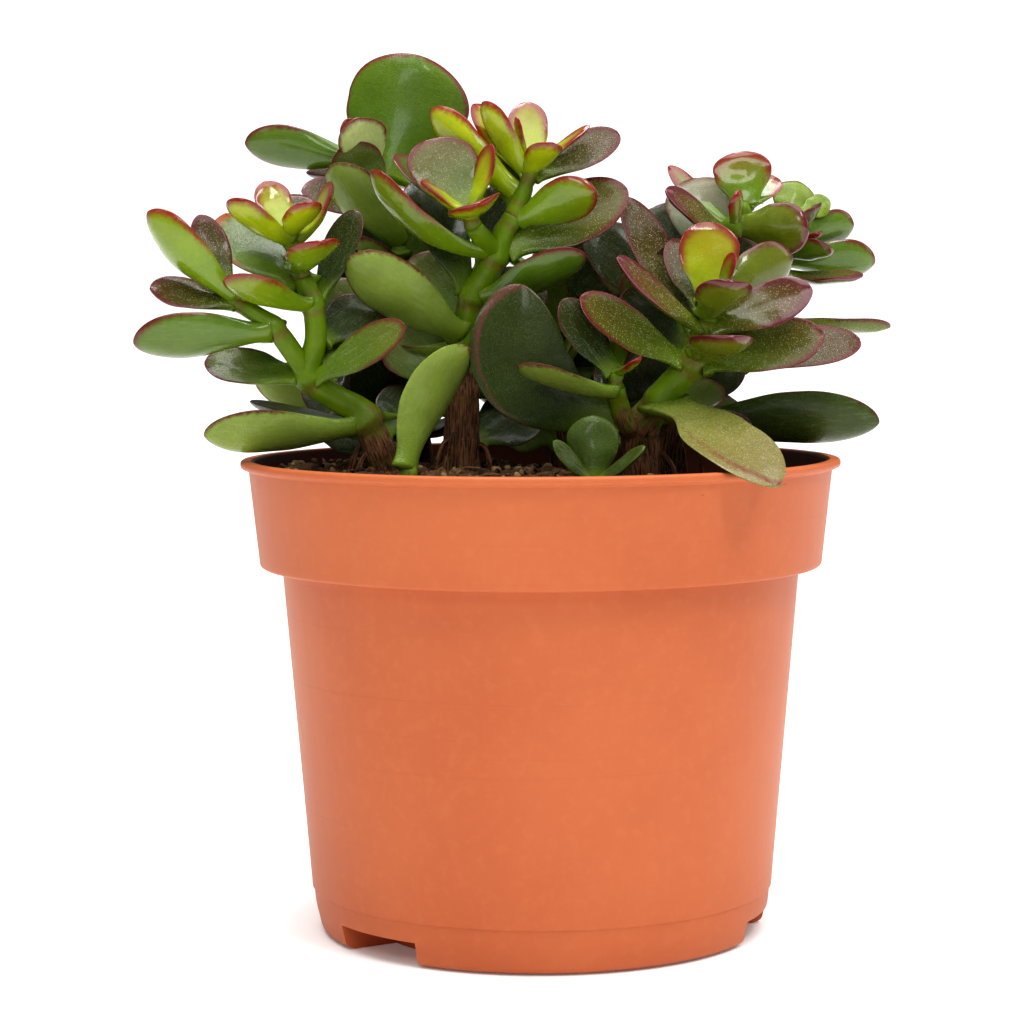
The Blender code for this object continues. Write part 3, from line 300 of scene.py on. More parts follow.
# Shaded leaves between the stems, seen through the gaps: (foot, tip, width, way the upper side looks, bend)
INNER_LEAVES = [
    ((-26, 18, 104), (-41, 14, 112), 13, (0, -1, 0.5), 0.05),
    ((-26, 18, 108), (-12, 12, 118), 13, (0, -1, 0.5), 0.05),
    ((-27, 18, 114), (-42, 20, 124), 14, (0, -1, 0.5), 0.05),
    ((-28, 18, 122), (-14, 22, 132), 13, (0, -1, 0.4), 0.05),
    ((-16, 0, 104), (-31, 10, 109), 12, (0, -0.6, 1), 0.06),
    ((-26, 18, 98), (-39, 8, 101), 12, (0, -0.5, 1), 0.05),
    ((-26, 18, 99), (-14, 6, 103), 12, (0, -0.5, 1), 0.05),
    ((-15, 0, 112), (-1, 10, 121), 14, (0, -1, 0.4), 0.04),
    ((4, 34, 104), (-9, 22, 114), 14, (0, -1, 0.5), 0.04),
    ((-14, -1, 121), (0, 8, 131), 13, (0, -1, 0.5), 0.04),
    ((4, 34, 112), (16, 22, 125), 15, (0, -1, 0.4), 0.04),
    ((4, 34, 118), (-3, 22, 133), 14, (0, -1, 0.3), 0.04),
    ((28, 9, 106), (11, 6, 112), 14, (0, -1, 0.5), 0.05),
    ((29, 9, 113), (13, 8, 125), 15, (0, -1, 0.3), 0.04),
    ((31, 6, 120), (17, 1, 132), 13, (0, -1, 0.3), 0.04),
    ((20, -9, 97), (6, 2, 103), 12, (0, -0.5, 1), 0.05),
    ((27, 11, 97), (13, 6, 105), 13, (0, -1, 0.6), 0.05),
    ((30, 8, 111), (43, 6, 120), 14, (0, -1, 0.4), 0.04),
    ((31, 6, 118), (43, 2, 129), 14, (0, -1, 0.3), 0.04),
    ((36, 18, 112), (46, 10, 121), 13, (0, -1, 0.4), 0.04),
    ((43, 22, 120), (37, 10, 131), 13, (0, -1, 0.3), 0.04),
    ((47, 24, 127), (42, 14, 138), 12, (0, -1, 0.3), 0.04),
    ((33, 5, 127), (45, 0, 136), 12, (0, -1, 0.3), 0.04),
    ((22, -12, 103), (35, 0, 110), 13, (0, -0.6, 1), 0.05),
    ((-33, -8, 99), (-24, 4, 108), 12, (0, -1, 0.4), 0.05),
    ((-44, -12, 118), (-33, -3, 126), 11, (0, -1, 0.5), 0.05),
    ((-27.5, 18, 133), (-19, 10, 147), 13, (0, -1, 0.3), 0.04),
    ((-28, 18, 130), (-42, 22, 138), 12, (0, -1, 0.4), 0.04),
    ((-28, 18, 129), (-41, 12, 141), 15, (0, -1, 0.3), 0.04),
    ((-31, 19, 143), (-40, 14, 158), 12, (0, -1, 0.3), 0.04),
    ((-11, 2, 131), (-5, 9, 150), 13, (0, -1, 0.3), 0.03),
    ((4, 34, 122), (17, 24, 139), 15, (0, -1, 0.3), 0.04),
    ((32, 8, 122), (13, 14, 137), 14, (0, -1, 0.4), 0.03),
    ((31, 6, 117), (16, -2, 127), 12, (0, -1, 0.4), 0.04),
    ((34, 6, 130), (23, 14, 145), 14, (0, -1, 0.2), 0.03),
    ((-14, 0, 122), (-26, 8, 135), 13, (0, -1, 0.4), 0.04),
    ((-28, 18, 118), (-44, 12, 131), 16, (0, -1, 0.3), 0.04),
    ((-27, 18, 106), (-36, 6, 132), 13, (0.1, -1, 0.2), 0.05),
    ((-16, 0, 109), (-30, 6, 121), 14, (0, -1, 0.4), 0.04),
    ((-26, 18, 100), (-36, 5, 116), 14, (0, -1, 0.3), 0.05),
    ((-31, -6, 95), (-42, 4, 105), 13, (0, -1, 0.4), 0.05),
    ((5, 33, 96), (-9, 22, 105), 15, (0, -1, 0.4), 0.04),
    ((-15.5, 0, 97), (-1, 9, 105), 13, (0, -1, 0.5), 0.05),
    ((27, 11, 102), (19, 3, 116), 14, (0, -1, 0.3), 0.04),
    ((-44, -11, 113), (-38, 0, 131), 12, (0, -1, 0.2), 0.04),
    ((30, 8, 118), (27, -4, 138), 14, (0, -1, 0.2), 0.03),
    ((4, 34, 100), (18, 22, 108), 14, (0, -1, 0.6), 0.05),
    ((28, 10, 98), (40, 20, 106), 12, (0, -0.6, 1), 0.05),
    ((-26, 18, 96), (-30, 34, 103), 13, (0, 0, 1), 0.06),
    ((5, 33, 97), (-9, 38, 104), 13, (0, 0, 1), 0.06),
]

# Outline of a leaf up to its broadest place: (share of length, share of half width)
FULL_OUTLINE = ((0.0, 0.38), (0.13, 0.44), (0.28, 0.68), (0.45, 0.92), (0.63, 1.0))
SMALL_OUTLINE = ((0.0, 0.46), (0.2, 0.60), (0.45, 0.92), (0.65, 1.0))
THICKNESS = ((0.0, 1.15), (0.28, 1.10), (0.63, 0.95), (0.80, 0.85), (0.92, 0.70), (1.0, 0.50))
LEAF_RING = 32
LOW_STATIONS = 20
TIP_STATIONS = 16

# Depth of a leaf's foot under the skin of its stem, and how a foot is moved along its leaf to get there
FOOT_SINK = 0.9
SEAT_STEP = 0.1
SEAT_TRIES = 60

STEM_RING = 24
STEM_STEP = 0.6

# Height at which each stem has turned from brown bark to green
GREEN_FROM = {
    "left_stem": 102.0, "centre_stem": 113.0, "right_stem": 105.0, "back_left_stem": 118.0,
    "back_right_stem": 112.0, "back_stem": 112.0,
}

POT_STEPS = 288
ALL_STEMS = [points for lengths in STEMS.values() for points, _last in lengths] + [SEEDLING_STEM]


def unit(vector):
    vector = np.asarray(vector, float)
    return vector / np.linalg.norm(vector)


def eased(value, low, high):
    share = np.clip((value - low) / (high - low), 0.0, 1.0)
    return share * share * (3.0 - 2.0 * share)


def linear(code, alpha=1.0):
    """RGBA in scene-linear light from a six-digit sRGB colour."""
    parts = [int(code[k:k + 2], 16) / 255.0 for k in (0, 2, 4)]
    return [p / 12.92 if p <= 0.04045 else ((p + 0.055) / 1.055) ** 2.4 for p in parts] + [alpha]


def curve_value(points, at):
    """Smooth curve through (place, value) points, read at an array of places."""
    xs = np.array([p[0] for p in points], float)
    ys = np.array([p[1] for p in points], float)
    slopes = np.gradient(ys, xs)
    at = np.clip(np.asarray(at, float), xs[0], xs[-1])
    k = np.clip(np.searchsorted(xs, at) - 1, 0, len(xs) - 2)
    width = xs[k + 1] - xs[k]
    t = (at - xs[k]) / width
    start = (2 * t**3 - 3 * t**2 + 1) * ys[k] + (t**3 - 2 * t**2 + t) * width * slopes[k]
    end = (-2 * t**3 + 3 * t**2) * ys[k + 1] + (t**3 - t**2) * width * slopes[k + 1]
    return start + end


def make_piece(name, verts, faces, material, slot_name, nodes=(), attributes=None, scale=MM):
    """A mesh object from millimetre points that rides on the root body and stands for CAD nodes."""
    mesh = bpy.data.meshes.new(name)
    verts = np.asarray(verts, float) * scale
    mesh.from_pydata(verts.tolist(), [], faces)
    mesh.polygons.foreach_set("use_smooth", [True] * len(mesh.polygons))
    for key, values in (attributes or {}).items():
        values = np.asarray(values, np.float32)
        kinds = {1: ("FLOAT", "value"), 3: ("FLOAT_VECTOR", "vector"), 4: ("FLOAT_COLOR", "color")}
        kind, field = kinds[1 if values.ndim == 1 else values.shape[1]]
        attribute = mesh.attributes.new(key, kind, "POINT")
        attribute.data.foreach_set(field, values.ravel())
    mesh.update()
    shell = bmesh.new()
    shell.from_mesh(mesh)
    bmesh.ops.recalc_face_normals(shell, faces=shell.faces)
    shell.to_mesh(mesh)
    shell.free()
    obj = bpy.data.objects.new(name, mesh)
    bpy.context.scene.collection.objects.link(obj)
    mesh.materials.append(material)
    if slot_name:
        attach(obj, "root")
    if nodes:
        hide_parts(*nodes)
    return obj


# Material building

def new_material(name):
    material = bpy.data.materials.new(name)
    material.use_nodes = True
    return material, material.node_tree


def node(tree, kind, settings=None, **inputs):
    """A node with its settings; inputs are named by socket, or i0, i1 and so on by number."""
    made = tree.nodes.new(kind)
    for key, value in (settings or {}).items():
        setattr(made, key, value)
    for key, value in inputs.items():
        socket = made.inputs[int(key[1:])] if key[0] == "i" and key[1:].isdigit() else made.inputs[key]
        if isinstance(value, bpy.types.NodeSocket):
            tree.links.new(value, socket)
        else:
            socket.default_value = value
    return made


def attribute(tree, name):
    return node(tree, "ShaderNodeAttribute", {"attribute_name": name})


def split_attribute(tree, name):
    return node(tree, "ShaderNodeSeparateXYZ", None, Vector=attribute(tree, name).outputs["Vector"])


def calc(tree, operation, first, second, clamp=False):
    settings = {"operation": operation, "use_clamp": clamp}
    return node(tree, "ShaderNodeMath", settings, i0=first, i1=second).outputs[0]


def times(tree, first, second, clamp=False):
    return calc(tree, "MULTIPLY", first, second, clamp)


def plus(tree, first, second):
    return calc(tree, "ADD", first, second)


def ramp(tree, value, low, high, start=0.0, end=1.0):
    return node(
        tree, "ShaderNodeMapRange", {"interpolation_type": "SMOOTHSTEP"},
        i0=value, i1=low, i2=high, i3=start, i4=end,
    ).outputs[0]


def mixed(tree, factor, first, second, blend="MIX"):
    settings = {"data_type": "RGBA", "blend_type": blend}
    made = node(tree, "ShaderNodeMix", settings, i0=factor, i6=first, i7=second)
    return made.outputs[2]


def grain(tree, where, scale, detail=2.0, roughness=0.5):
    return node(
        tree, "ShaderNodeTexNoise", None, Vector=where, Scale=scale, Detail=detail, Roughness=roughness,
    ).outputs[0]


def stretched(tree, vector, scale):
    made = node(tree, "ShaderNodeMapping", None, Vector=vector)
    made.inputs["Scale"].default_value = scale
    return made.outputs[0]


def leaf_material(name, coat, subsurface, dimples):
    """Waxy succulent leaf. What differs from leaf to leaf comes from mesh attributes."""
    material, tree = new_material(name)
    shader = tree.nodes["Principled BSDF"]
    place = attribute(tree, "place").outputs["Vector"]
    form = split_attribute(tree, "form")
    along, rim, upper = form.outputs[0], form.outputs[1], form.outputs[2]
    base, under = attribute(tree, "upper_colour"), attribute(tree, "under_colour")
    edge, wash = attribute(tree, "edge_colour"), attribute(tree, "tint_colour")
    features = split_attribute(tree, "features")
    specks_amount, streaks_amount, spot = features.outputs[0], features.outputs[1], features.outputs[2]

    fine = grain(tree, place, 1.1, 3.0, 0.6)
    soft = grain(tree, place, 0.16, 2.0)
    streaks = grain(tree, stretched(tree, place, (0.28, 1.9, 1.0)), 1.0, 3.0, 0.65)
    cells = node(tree, "ShaderNodeTexVoronoi", None, Vector=place, Scale=3.4)
    cell_pick = node(tree, "ShaderNodeSeparateColor", None, i0=cells.outputs["Color"]).outputs[0]

    colour = mixed(tree, ramp(tree, upper, 0.42, 0.58), under.outputs["Color"], base.outputs["Color"])
    light = plus(tree, times(tree, soft, 0.55), times(tree, fine, 0.35))
    light = plus(tree, light, 0.56)
    grey = node(tree, "ShaderNodeCombineColor", None, i0=light, i1=light, i2=light).outputs[0]
    colour = mixed(tree, 1.0, colour, grey, "MULTIPLY")
    streak_mask = times(tree, ramp(tree, streaks, 0.50, 0.72), streaks_amount)
    colour = mixed(tree, times(tree, streak_mask, 0.45), colour, linear("a8b088"))
    tint = ramp(tree, plus(tree, along, times(tree, soft, 0.5)), 0.45, 1.15)
    tint = times(tree, tint, ramp(tree, fine, 0.25, 0.62, 0.55, 1.0))
    tint = times(tree, tint, ramp(tree, upper, 0.35, 0.65, 0.30, 1.0))
    tint = times(tree, tint, wash.outputs["Alpha"], True)
    colour = mixed(tree, tint, colour, wash.outputs["Color"])
    foot = ramp(tree, along, 0.02, 0.30, 0.70, 0.0)
    colour = mixed(tree, foot, colour, linear("647c0c"))
    dots = times(tree, ramp(tree, cells.outputs["Distance"], 0.10, 0.34, 0.75, 0.0),
                ramp(tree, cell_pick, 0.45, 0.60))
    dots = times(tree, times(tree, dots, specks_amount), ramp(tree, upper, 0.45, 0.6))
    colour = mixed(tree, dots, colour, linear("ece0c8"))
    wander = times(tree, calc(tree, "SUBTRACT", fine, 0.5), 0.9)
    reach = calc(tree, "DIVIDE", plus(tree, rim, wander), edge.outputs["Alpha"])
    reach = calc(tree, "DIVIDE", reach, ramp(tree, upper, 0.35, 0.55, 0.60, 1.0))
    reach = calc(tree, "DIVIDE", reach, ramp(tree, along, 0.35, 0.95, 0.75, 1.45))
    margin = times(tree, ramp(tree, reach, 0.10, 1.70, 1.0, 0.0), ramp(tree, along, 0.25, 0.60))
    colour = mixed(tree, margin, colour, edge.outputs["Color"])
    colour = mixed(tree, spot, colour, linear("8a4028"))
    tree.links.new(colour, shader.inputs["Base Color"])

    uneven = times(tree, calc(tree, "SUBTRACT", fine, 0.5), 0.22)
    rough = plus(tree, plus(tree, base.outputs["Alpha"], uneven), times(tree, streak_mask, 0.12))
    tree.links.new(rough, shader.inputs["Roughness"])
    pits = ramp(tree, cells.outputs["Distance"], 0.0, 0.5)
    height = plus(tree, times(tree, fine, 0.55), times(tree, pits, dimples))
    bump = node(tree, "ShaderNodeBump", None, Height=height, Strength=0.6, Distance=0.00025)
    tree.links.new(bump.outputs[0], shader.inputs["Normal"])
    shader.inputs["Specular IOR Level"].default_value = 0.24
    shader.inputs["Coat Weight"].default_value = coat
    shader.inputs["Coat Roughness"].default_value = 0.10
    shader.inputs["Subsurface Weight"].default_value = subsurface
    shader.inputs["Subsurface Radius"].default_value = (1.0, 1.0, 0.3)
    shader.inputs["Subsurface Scale"].default_value = 0.0012
    return material


def stem_material():
    """Green young stem that turns to brown, fibrous bark with scars at the joints."""
    material, tree = new_material("jade_stem")
    shader = tree.nodes["Principled BSDF"]
    place = attribute(tree, "place").outputs["Vector"]
    form = split_attribute(tree, "form")
    age, scar = form.outputs[0], form.outputs[1]
    fine = grain(tree, place, 1.3, 4.0, 0.65)
    soft = grain(tree, place, 0.22, 2.0)
    fibre = grain(tree, stretched(tree, place, (0.25, 2.2, 1.0)), 1.0, 4.0, 0.7)
    green = mixed(tree, soft, linear("3e5e02"), linear("748c0c"))
    green = mixed(tree, ramp(tree, fine, 0.62, 0.75), green, linear("7c7a38"))
    bark = mixed(tree, ramp(tree, fibre, 0.36, 0.64), linear("28160c"), linear("8a6040"))
    bark = mixed(tree, ramp(tree, fine, 0.60, 0.74), bark, linear("a89074"))
    uneven = times(tree, calc(tree, "SUBTRACT", soft, 0.5), 0.9)
    brown = ramp(tree, plus(tree, age, uneven), 0.30, 0.70)
    colour = mixed(tree, brown, green, bark)
    scarred = times(tree, scar, ramp(tree, fine, 0.30, 0.55), True)
    colour = mixed(tree, scarred, colour, linear("6c5a24"))
    tree.links.new(colour, shader.inputs["Base Color"])
    tree.links.new(ramp(tree, brown, 0.0, 1.0, 0.30, 0.82), shader.inputs["Roughness"])
    height = plus(tree, times(tree, fibre, brown), times(tree, fine, 0.35))
    bump = node(tree, "ShaderNodeBump", None, Height=height, Strength=0.7, Distance=0.0004)
    tree.links.new(bump.outputs[0], shader.inputs["Normal"])
    shader.inputs["Specular IOR Level"].default_value = 0.25
    return material


def pot_material():
    """Satin orange-brown moulded plastic: faint mottling and streaks, partly lightened as painted highlight,
    hair-fine scratches, a few dark specks, and painted shade on the inside wall.
    """
    material, tree = new_material("pot_plastic")
    shader = tree.nodes["Principled BSDF"]
    where = node(tree, "ShaderNodeTexCoord").outputs["Object"]
    cloud = grain(tree, where, 22.0, 3.0)
    mottle_and_highlight = grain(tree, where, 420.0, 3.0, 0.6)
    fine = grain(tree, where, 2600.0, 2.0)
    drag_and_highlight = grain(tree, stretched(tree, where, (160.0, 160.0, 9.0)), 1.0, 3.0, 0.6)
    around_lines = grain(tree, stretched(tree, where, (6.0, 6.0, 700.0)), 1.0, 2.0, 0.6)
    cells = node(tree, "ShaderNodeTexVoronoi", None, Vector=where, Scale=170.0)
    pick = node(tree, "ShaderNodeSeparateColor", None, i0=cells.outputs["Color"]).outputs[0]
    dot = ramp(tree, cells.outputs["Distance"], 0.03, 0.07, 1.0, 0.0)
    speck = times(tree, dot, ramp(tree, pick, 0.93, 0.94))
    colour = mixed(tree, ramp(tree, cloud, 0.3, 0.7), linear("b4603a"), linear("bc6840"))
    # The mottle and drag layers lighten the plastic: partly moulding marks, partly painted highlight. The ring
    # lines darken it.
    layers = ((mottle_and_highlight, 0.45, 0.75, 0.25, "c4744c"), (drag_and_highlight, 0.62, 0.85, 0.12, "cc8660"),
              (around_lines, 0.62, 0.80, 0.16, "9c4c2c"))
    for pattern, low, high, amount, code in layers:
        colour = mixed(tree, times(tree, ramp(tree, pattern, low, high), amount), colour, linear(code))
    colour = mixed(tree, speck, colour, linear("4a2214"))

    # The inside wall is darkened almost to black with painted shade: found by its distance in from the skirt's
    # outer face
    xyz = node(tree, "ShaderNodeSeparateXYZ", None, Vector=where)
    flat = node(tree, "ShaderNodeCombineXYZ", None, X=xyz.outputs[0], Y=xyz.outputs[1])
    length = node(tree, "ShaderNodeVectorMath", {"operation": "LENGTH"}, i0=flat.outputs[0])
    taper = times(tree, calc(tree, "SUBTRACT", xyz.outputs[2], SKIRT_LOW * MM), SKIRT_TAPER)
    skirt = plus(tree, taper, SKIRT_LOW_RADIUS * MM)
    depth = calc(tree, "SUBTRACT", length.outputs["Value"], skirt)
    in_from_skirt = ramp(tree, depth, -0.0009, -0.0004, 1.0, 0.0)
    above_ledge = ramp(tree, xyz.outputs[2], 0.0745, 0.0760)
    inside = times(tree, in_from_skirt, above_ledge)
    colour = mixed(tree, times(tree, inside, 0.92), colour, linear("280e06"))
    tree.links.new(colour, shader.inputs["Base Color"])
    rough = plus(tree, times(tree, mottle_and_highlight, 0.14), times(tree, drag_and_highlight, 0.10))
    tree.links.new(plus(tree, rough, 0.34), shader.inputs["Roughness"])
    height = plus(tree, times(tree, mottle_and_highlight, 0.6), times(tree, fine, 0.3))
    height = plus(tree, height, times(tree, drag_and_highlight, 0.4))
    bump = node(tree, "ShaderNodeBump", None, Height=height, Strength=0.25, Distance=0.00012)
    tree.links.new(bump.outputs[0], shader.inputs["Normal"])
    shader.inputs["Specular IOR Level"].default_value = 0.2
    shader.inputs["Subsurface Weight"].default_value = 0.06
    shader.inputs["Subsurface Radius"].default_value = (1.0, 0.35, 0.2)
    shader.inputs["Subsurface Scale"].default_value = 0.002
    return material


def soil_material():
    material, tree = new_material("peat_soil")
    shader = tree.nodes["Principled BSDF"]
    where = node(tree, "ShaderNodeTexCoord").outputs["Object"]
    coarse = grain(tree, where, 260.0, 4.0, 0.7)
    fine = grain(tree, where, 1500.0, 3.0, 0.7)
    bit = attribute(tree, "bit").outputs["Fac"]
    colour = mixed(tree, coarse, linear("2a180a"), linear("684622"))
    colour = mixed(tree, ramp(tree, fine, 0.55, 0.75), colour, linear("7a5836"))
    colour = mixed(tree, ramp(tree, bit, 0.80, 0.90), colour, linear("90724a"))
    colour = mixed(tree, ramp(tree, bit, 0.30, 0.0), colour, linear("1c100a"))
    tree.links.new(colour, shader.inputs["Base Color"])
    shader.inputs["Roughness"].default_value = 0.92
    height = plus(tree, coarse, times(tree, fine, 0.5))
    bump = node(tree, "ShaderNodeBump", None, Height=height, Strength=0.8, Distance=0.0008)
    tree.links.new(bump.outputs[0], shader.inputs["Normal"])
    return material


def floor_material():
    material, tree = new_material("studio_floor")
    shader = tree.nodes["Principled BSDF"]
    where = node(tree, "ShaderNodeTexCoord").outputs["Object"]
    colour = mixed(tree, grain(tree, where, 8.0), linear("f8f8f8"), linear("fcfcfc"))
    tree.links.new(colour, shader.inputs["Base Color"])
    shader.inputs["Roughness"].default_value = 0.9
    shader.inputs["Specular IOR Level"].default_value = 0.1
    shader.inputs["Emission Color"].default_value = (1.0, 1.0, 1.0, 1.0)
    shader.inputs["Emission Strength"].default_value = 0.08
    return material


# Leaves

def leaf_outline(share, small):
    """Share of the half width at each share of the length: drawn curve, then a rounded end."""
    points = SMALL_OUTLINE if small else FULL_OUTLINE
    broadest = points[-1][0]
    t = np.clip((share - broadest) / (1.0 - broadest), 0.0, 1.0)
    return np.where(share <= broadest, curve_value(points, share), (1.0 - t**2.1) ** 0.55)


def seated(foot, tip):
    """The foot moved along its leaf until it lies just under the skin of the nearest stem."""
    foot = np.array(foot, float)
    along = unit(np.array(tip, float) - foot)
    for _step in range(SEAT_TRIES):
        if min(distance_to_stem(foot, points) for points in ALL_STEMS) >= -FOOT_SINK:
            break
        foot = foot + along * SEAT_STEP
    return foot


def distance_to_stem(point, points):
    """Distance from a point to the surface of a stem, below zero inside it."""
    nearest = 1e9
    for a, b in zip(points[:-1], points[1:]):
        start = np.array(a[:3], float)
        way = np.array(b[:3], float) - start
        share = min(max(np.dot(point - start, way) / np.dot(way, way), 0.0), 1.0)
        radius = a[3] + (b[3] - a[3]) * share
        nearest = min(nearest, np.linalg.norm(point - start - way * share) - radius)
    return nearest


def leaf_piece(name, spec, look, materials, slot_name, nodes, small=False):
    """One fleshy leaf: flat or hollow upper side, rounded underside, thin keel along its margin."""
    foot, tip, width, looks_to, bend = spec[:5]
    sweep = spec[5] if len(spec) > 5 else 0.0
    neck = spec[6] if len(spec) > 6 else 0.31
    seed = sum((k + 3) * ord(letter) for k, letter in enumerate(name))
    rng = np.random.default_rng(seed)
    foot = seated(foot, tip)
    growth, shift = FULLER.get(nodes[0] if nodes else "", (1.0, 0.0))
    width = width * growth
    tip = np.array(tip, float)
    length = np.linalg.norm(tip - foot)
    along = (tip - foot) / length
    up = unit(np.array(looks_to, float) - along * np.dot(looks_to, along))
    side = np.cross(up, along)

    broadest = (SMALL_OUTLINE if small else FULL_OUTLINE)[-1][0]
    low = np.linspace(0.0, broadest, LOW_STATIONS)
    high = broadest + (1 - broadest) * np.sin(np.linspace(0, 1, TIP_STATIONS + 1)[1:-1] * math.pi / 2)
    shares = np.concatenate([low, high])
    wide = leaf_outline(shares, small)
    wide = np.maximum(wide, neck * np.minimum(1.0, 3.5 * (1 - shares)))
    wide = wide * (1 + 0.40 * np.exp(-((shares + 0.02) / 0.06) ** 2))
    thick = curve_value(THICKNESS, shares) * (0.50 + 0.068 * width)
    thick = thick * np.minimum(1.0, np.sqrt(np.maximum(1 - shares, 0.0) / 0.10) * 0.72 + 0.28)

    turns = 2 * math.pi * np.arange(LEAF_RING) / LEAF_RING
    x = np.cos(turns)[None, :]
    y = np.sin(turns)[None, :]
    s = shares[:, None]
    keel = 1.0 + 0.55 * eased(s, 0.08, 0.40)
    phases = rng.uniform(0, 2 * math.pi, 4)
    ripple = 1 + 0.018 * np.sin(2 * math.pi * 1.7 * s + phases[0] + 1.3 * np.sign(x)) * eased(s, 0.1, 0.4)
    across_mm = x * wide[:, None] * ripple * width / 2 + shift * eased(s, 0.25, 0.6)
    raised_mm = np.sign(y) * np.abs(y) ** keel * thick[:, None] * np.where(y > 0, 0.85, 1.08)
    raised_mm = raised_mm + 0.10 * width * wide[:, None] * x**2
    groove = 0.10 * thick[:, None] * np.exp(-((x / 0.16) ** 2)) * (y > 0)
    wave = 0.016 * width * np.sin(5.2 * s + phases[1] + 1.9 * x) * np.abs(x)
    lumps = 0.10 * np.sin(13 * s + phases[2]) * np.cos(2.6 * x + phases[3])
    raised_mm = raised_mm - groove * eased(s, 0.05, 0.3)
    raised_mm = raised_mm + wave * eased(s, 0.15, 0.5)
    raised_mm = raised_mm + lumps * eased(s, 0.2, 0.5)

    bow = 4 * shares * (1 - shares)
    slope = 4 * (1 - 2 * shares)
    verts = []
    for k, share in enumerate(shares):
        centre = foot + length * (along * share - up * bend * bow[k] + side * sweep * bow[k])
        heading = unit(along - up * bend * slope[k] + side * sweep * slope[k])
        across = unit(np.cross(up, heading))
        raised = np.cross(heading, across)
        verts.append(centre + np.outer(across_mm[k], across) + np.outer(raised_mm[k], raised))
    verts = np.concatenate(verts + [tip[None, :]])
    count = len(shares)
    faces = [list(range(LEAF_RING))]
    for row in range(count - 1):
        for k in range(LEAF_RING):
            a = row * LEAF_RING + k
            b = row * LEAF_RING + (k + 1) % LEAF_RING
            faces.append([a, b, b + LEAF_RING, a + LEAF_RING])
    start = (count - 1) * LEAF_RING
    faces += [[start + k, start + (k + 1) % LEAF_RING, count * LEAF_RING] for k in range(LEAF_RING)]

    flat = np.stack([np.broadcast_to(s * length, across_mm.shape), across_mm], axis=2).reshape(-1, 2)
    trace = np.linspace(0.02, 1.0, 160)
    half = leaf_outline(trace, small) * width / 2
    line = np.concatenate([np.stack([trace * length, half], 1), np.stack([trace * length, -half], 1)])
    rim = np.sqrt(((flat[:, None, :] - line[None, :, :]) ** 2).sum(axis=2)).min(axis=1)
    upper = np.broadcast_to(0.5 + 0.5 * y, across_mm.shape).ravel()
    spot_mask = np.zeros(len(flat))
    if name in SPOTS:
        at_share, at_across, size = SPOTS[name]
        gap = np.hypot(flat[:, 0] - at_share * length, flat[:, 1] - at_across * width / 2)
        spot_mask = 1 - eased(gap, size * 0.6, size * 1.3)

    kind = LOOKS[look]
    points = len(verts)
    tone = 1 + rng.uniform(-0.10, 0.10)

    def everywhere(values):
        return np.tile(np.asarray(values, float), (points, 1))

    def shaded(code, alpha):
        colour = linear(code, alpha)
        return [min(channel * tone, 1.0) for channel in colour[:3]] + [alpha]

    form = np.stack([np.repeat(shares, LEAF_RING), rim, upper], 1)
    place = np.column_stack([flat, np.full(len(flat), seed % 89) + 0.45 * raised_mm.ravel()])
    features = np.column_stack([np.full(len(flat), kind[6]), np.full(len(flat), kind[7]), spot_mask])
    attributes = {
        "form": np.vstack([form, [1.0, 0.0, 0.5]]),
        "place": np.vstack([place, [length, 0.0, seed % 89]]),
        "features": np.vstack([features, [kind[6], kind[7], 0.0]]),
        "upper_colour": everywhere(shaded(kind[0], kind[8])),
        "under_colour": everywhere(shaded(kind[1], 1.0)),
        "edge_colour": everywhere(shaded(kind[2], kind[3])),
        "tint_colour": everywhere(shaded(kind[4], kind[5])),
    }
    material = materials["glossy" if kind[9] else "waxy"]
    return make_piece(name, verts, faces, material, slot_name, nodes, attributes)


# Leaves that are fuller than their plain solid: (factor on the width, sideways shift in mm)
FULLER = {
    "right_leaf_1": (1.22, 1.2), "right_leaf_3": (1.18, -2.6), "rooted_leaf": (1.35, 1.0),
    "left_leaf_12": (1.15, 0.0), "centre_leaf_6": (1.15, 0.0),
}

# Red corky spots: (share of length, share of half width, radius in mm)
SPOTS = {"back_left_leaf_1_blade": (0.36, -0.31, 1.0)}


# Stems

def smooth_path(points, step):
    """Points every step or so along a smooth curve through (x, y, z, radius) points."""
    points = np.array(points, float)
    padded = np.vstack([2 * points[0] - points[1], points, 2 * points[-1] - points[-2]])
    made = []
    marks = []
    for k in range(1, len(padded) - 2):
        p0, p1, p2, p3 = padded[k - 1:k + 3]
        pieces = max(2, int(np.linalg.norm(p2[:3] - p1[:3]) / step))
        for n in range(pieces):
            t = n / pieces
            made.append(0.5 * (2 * p1 + (p2 - p0) * t + (2 * p0 - 5 * p1 + 4 * p2 - p3) * t**2
                               + (3 * p1 - p0 - 3 * p2 + p3) * t**3))
            marks.append(k - 1 + t)
    made.append(points[-1])
    marks.append(len(points) - 1.0)
    return np.array(made), np.array(marks)


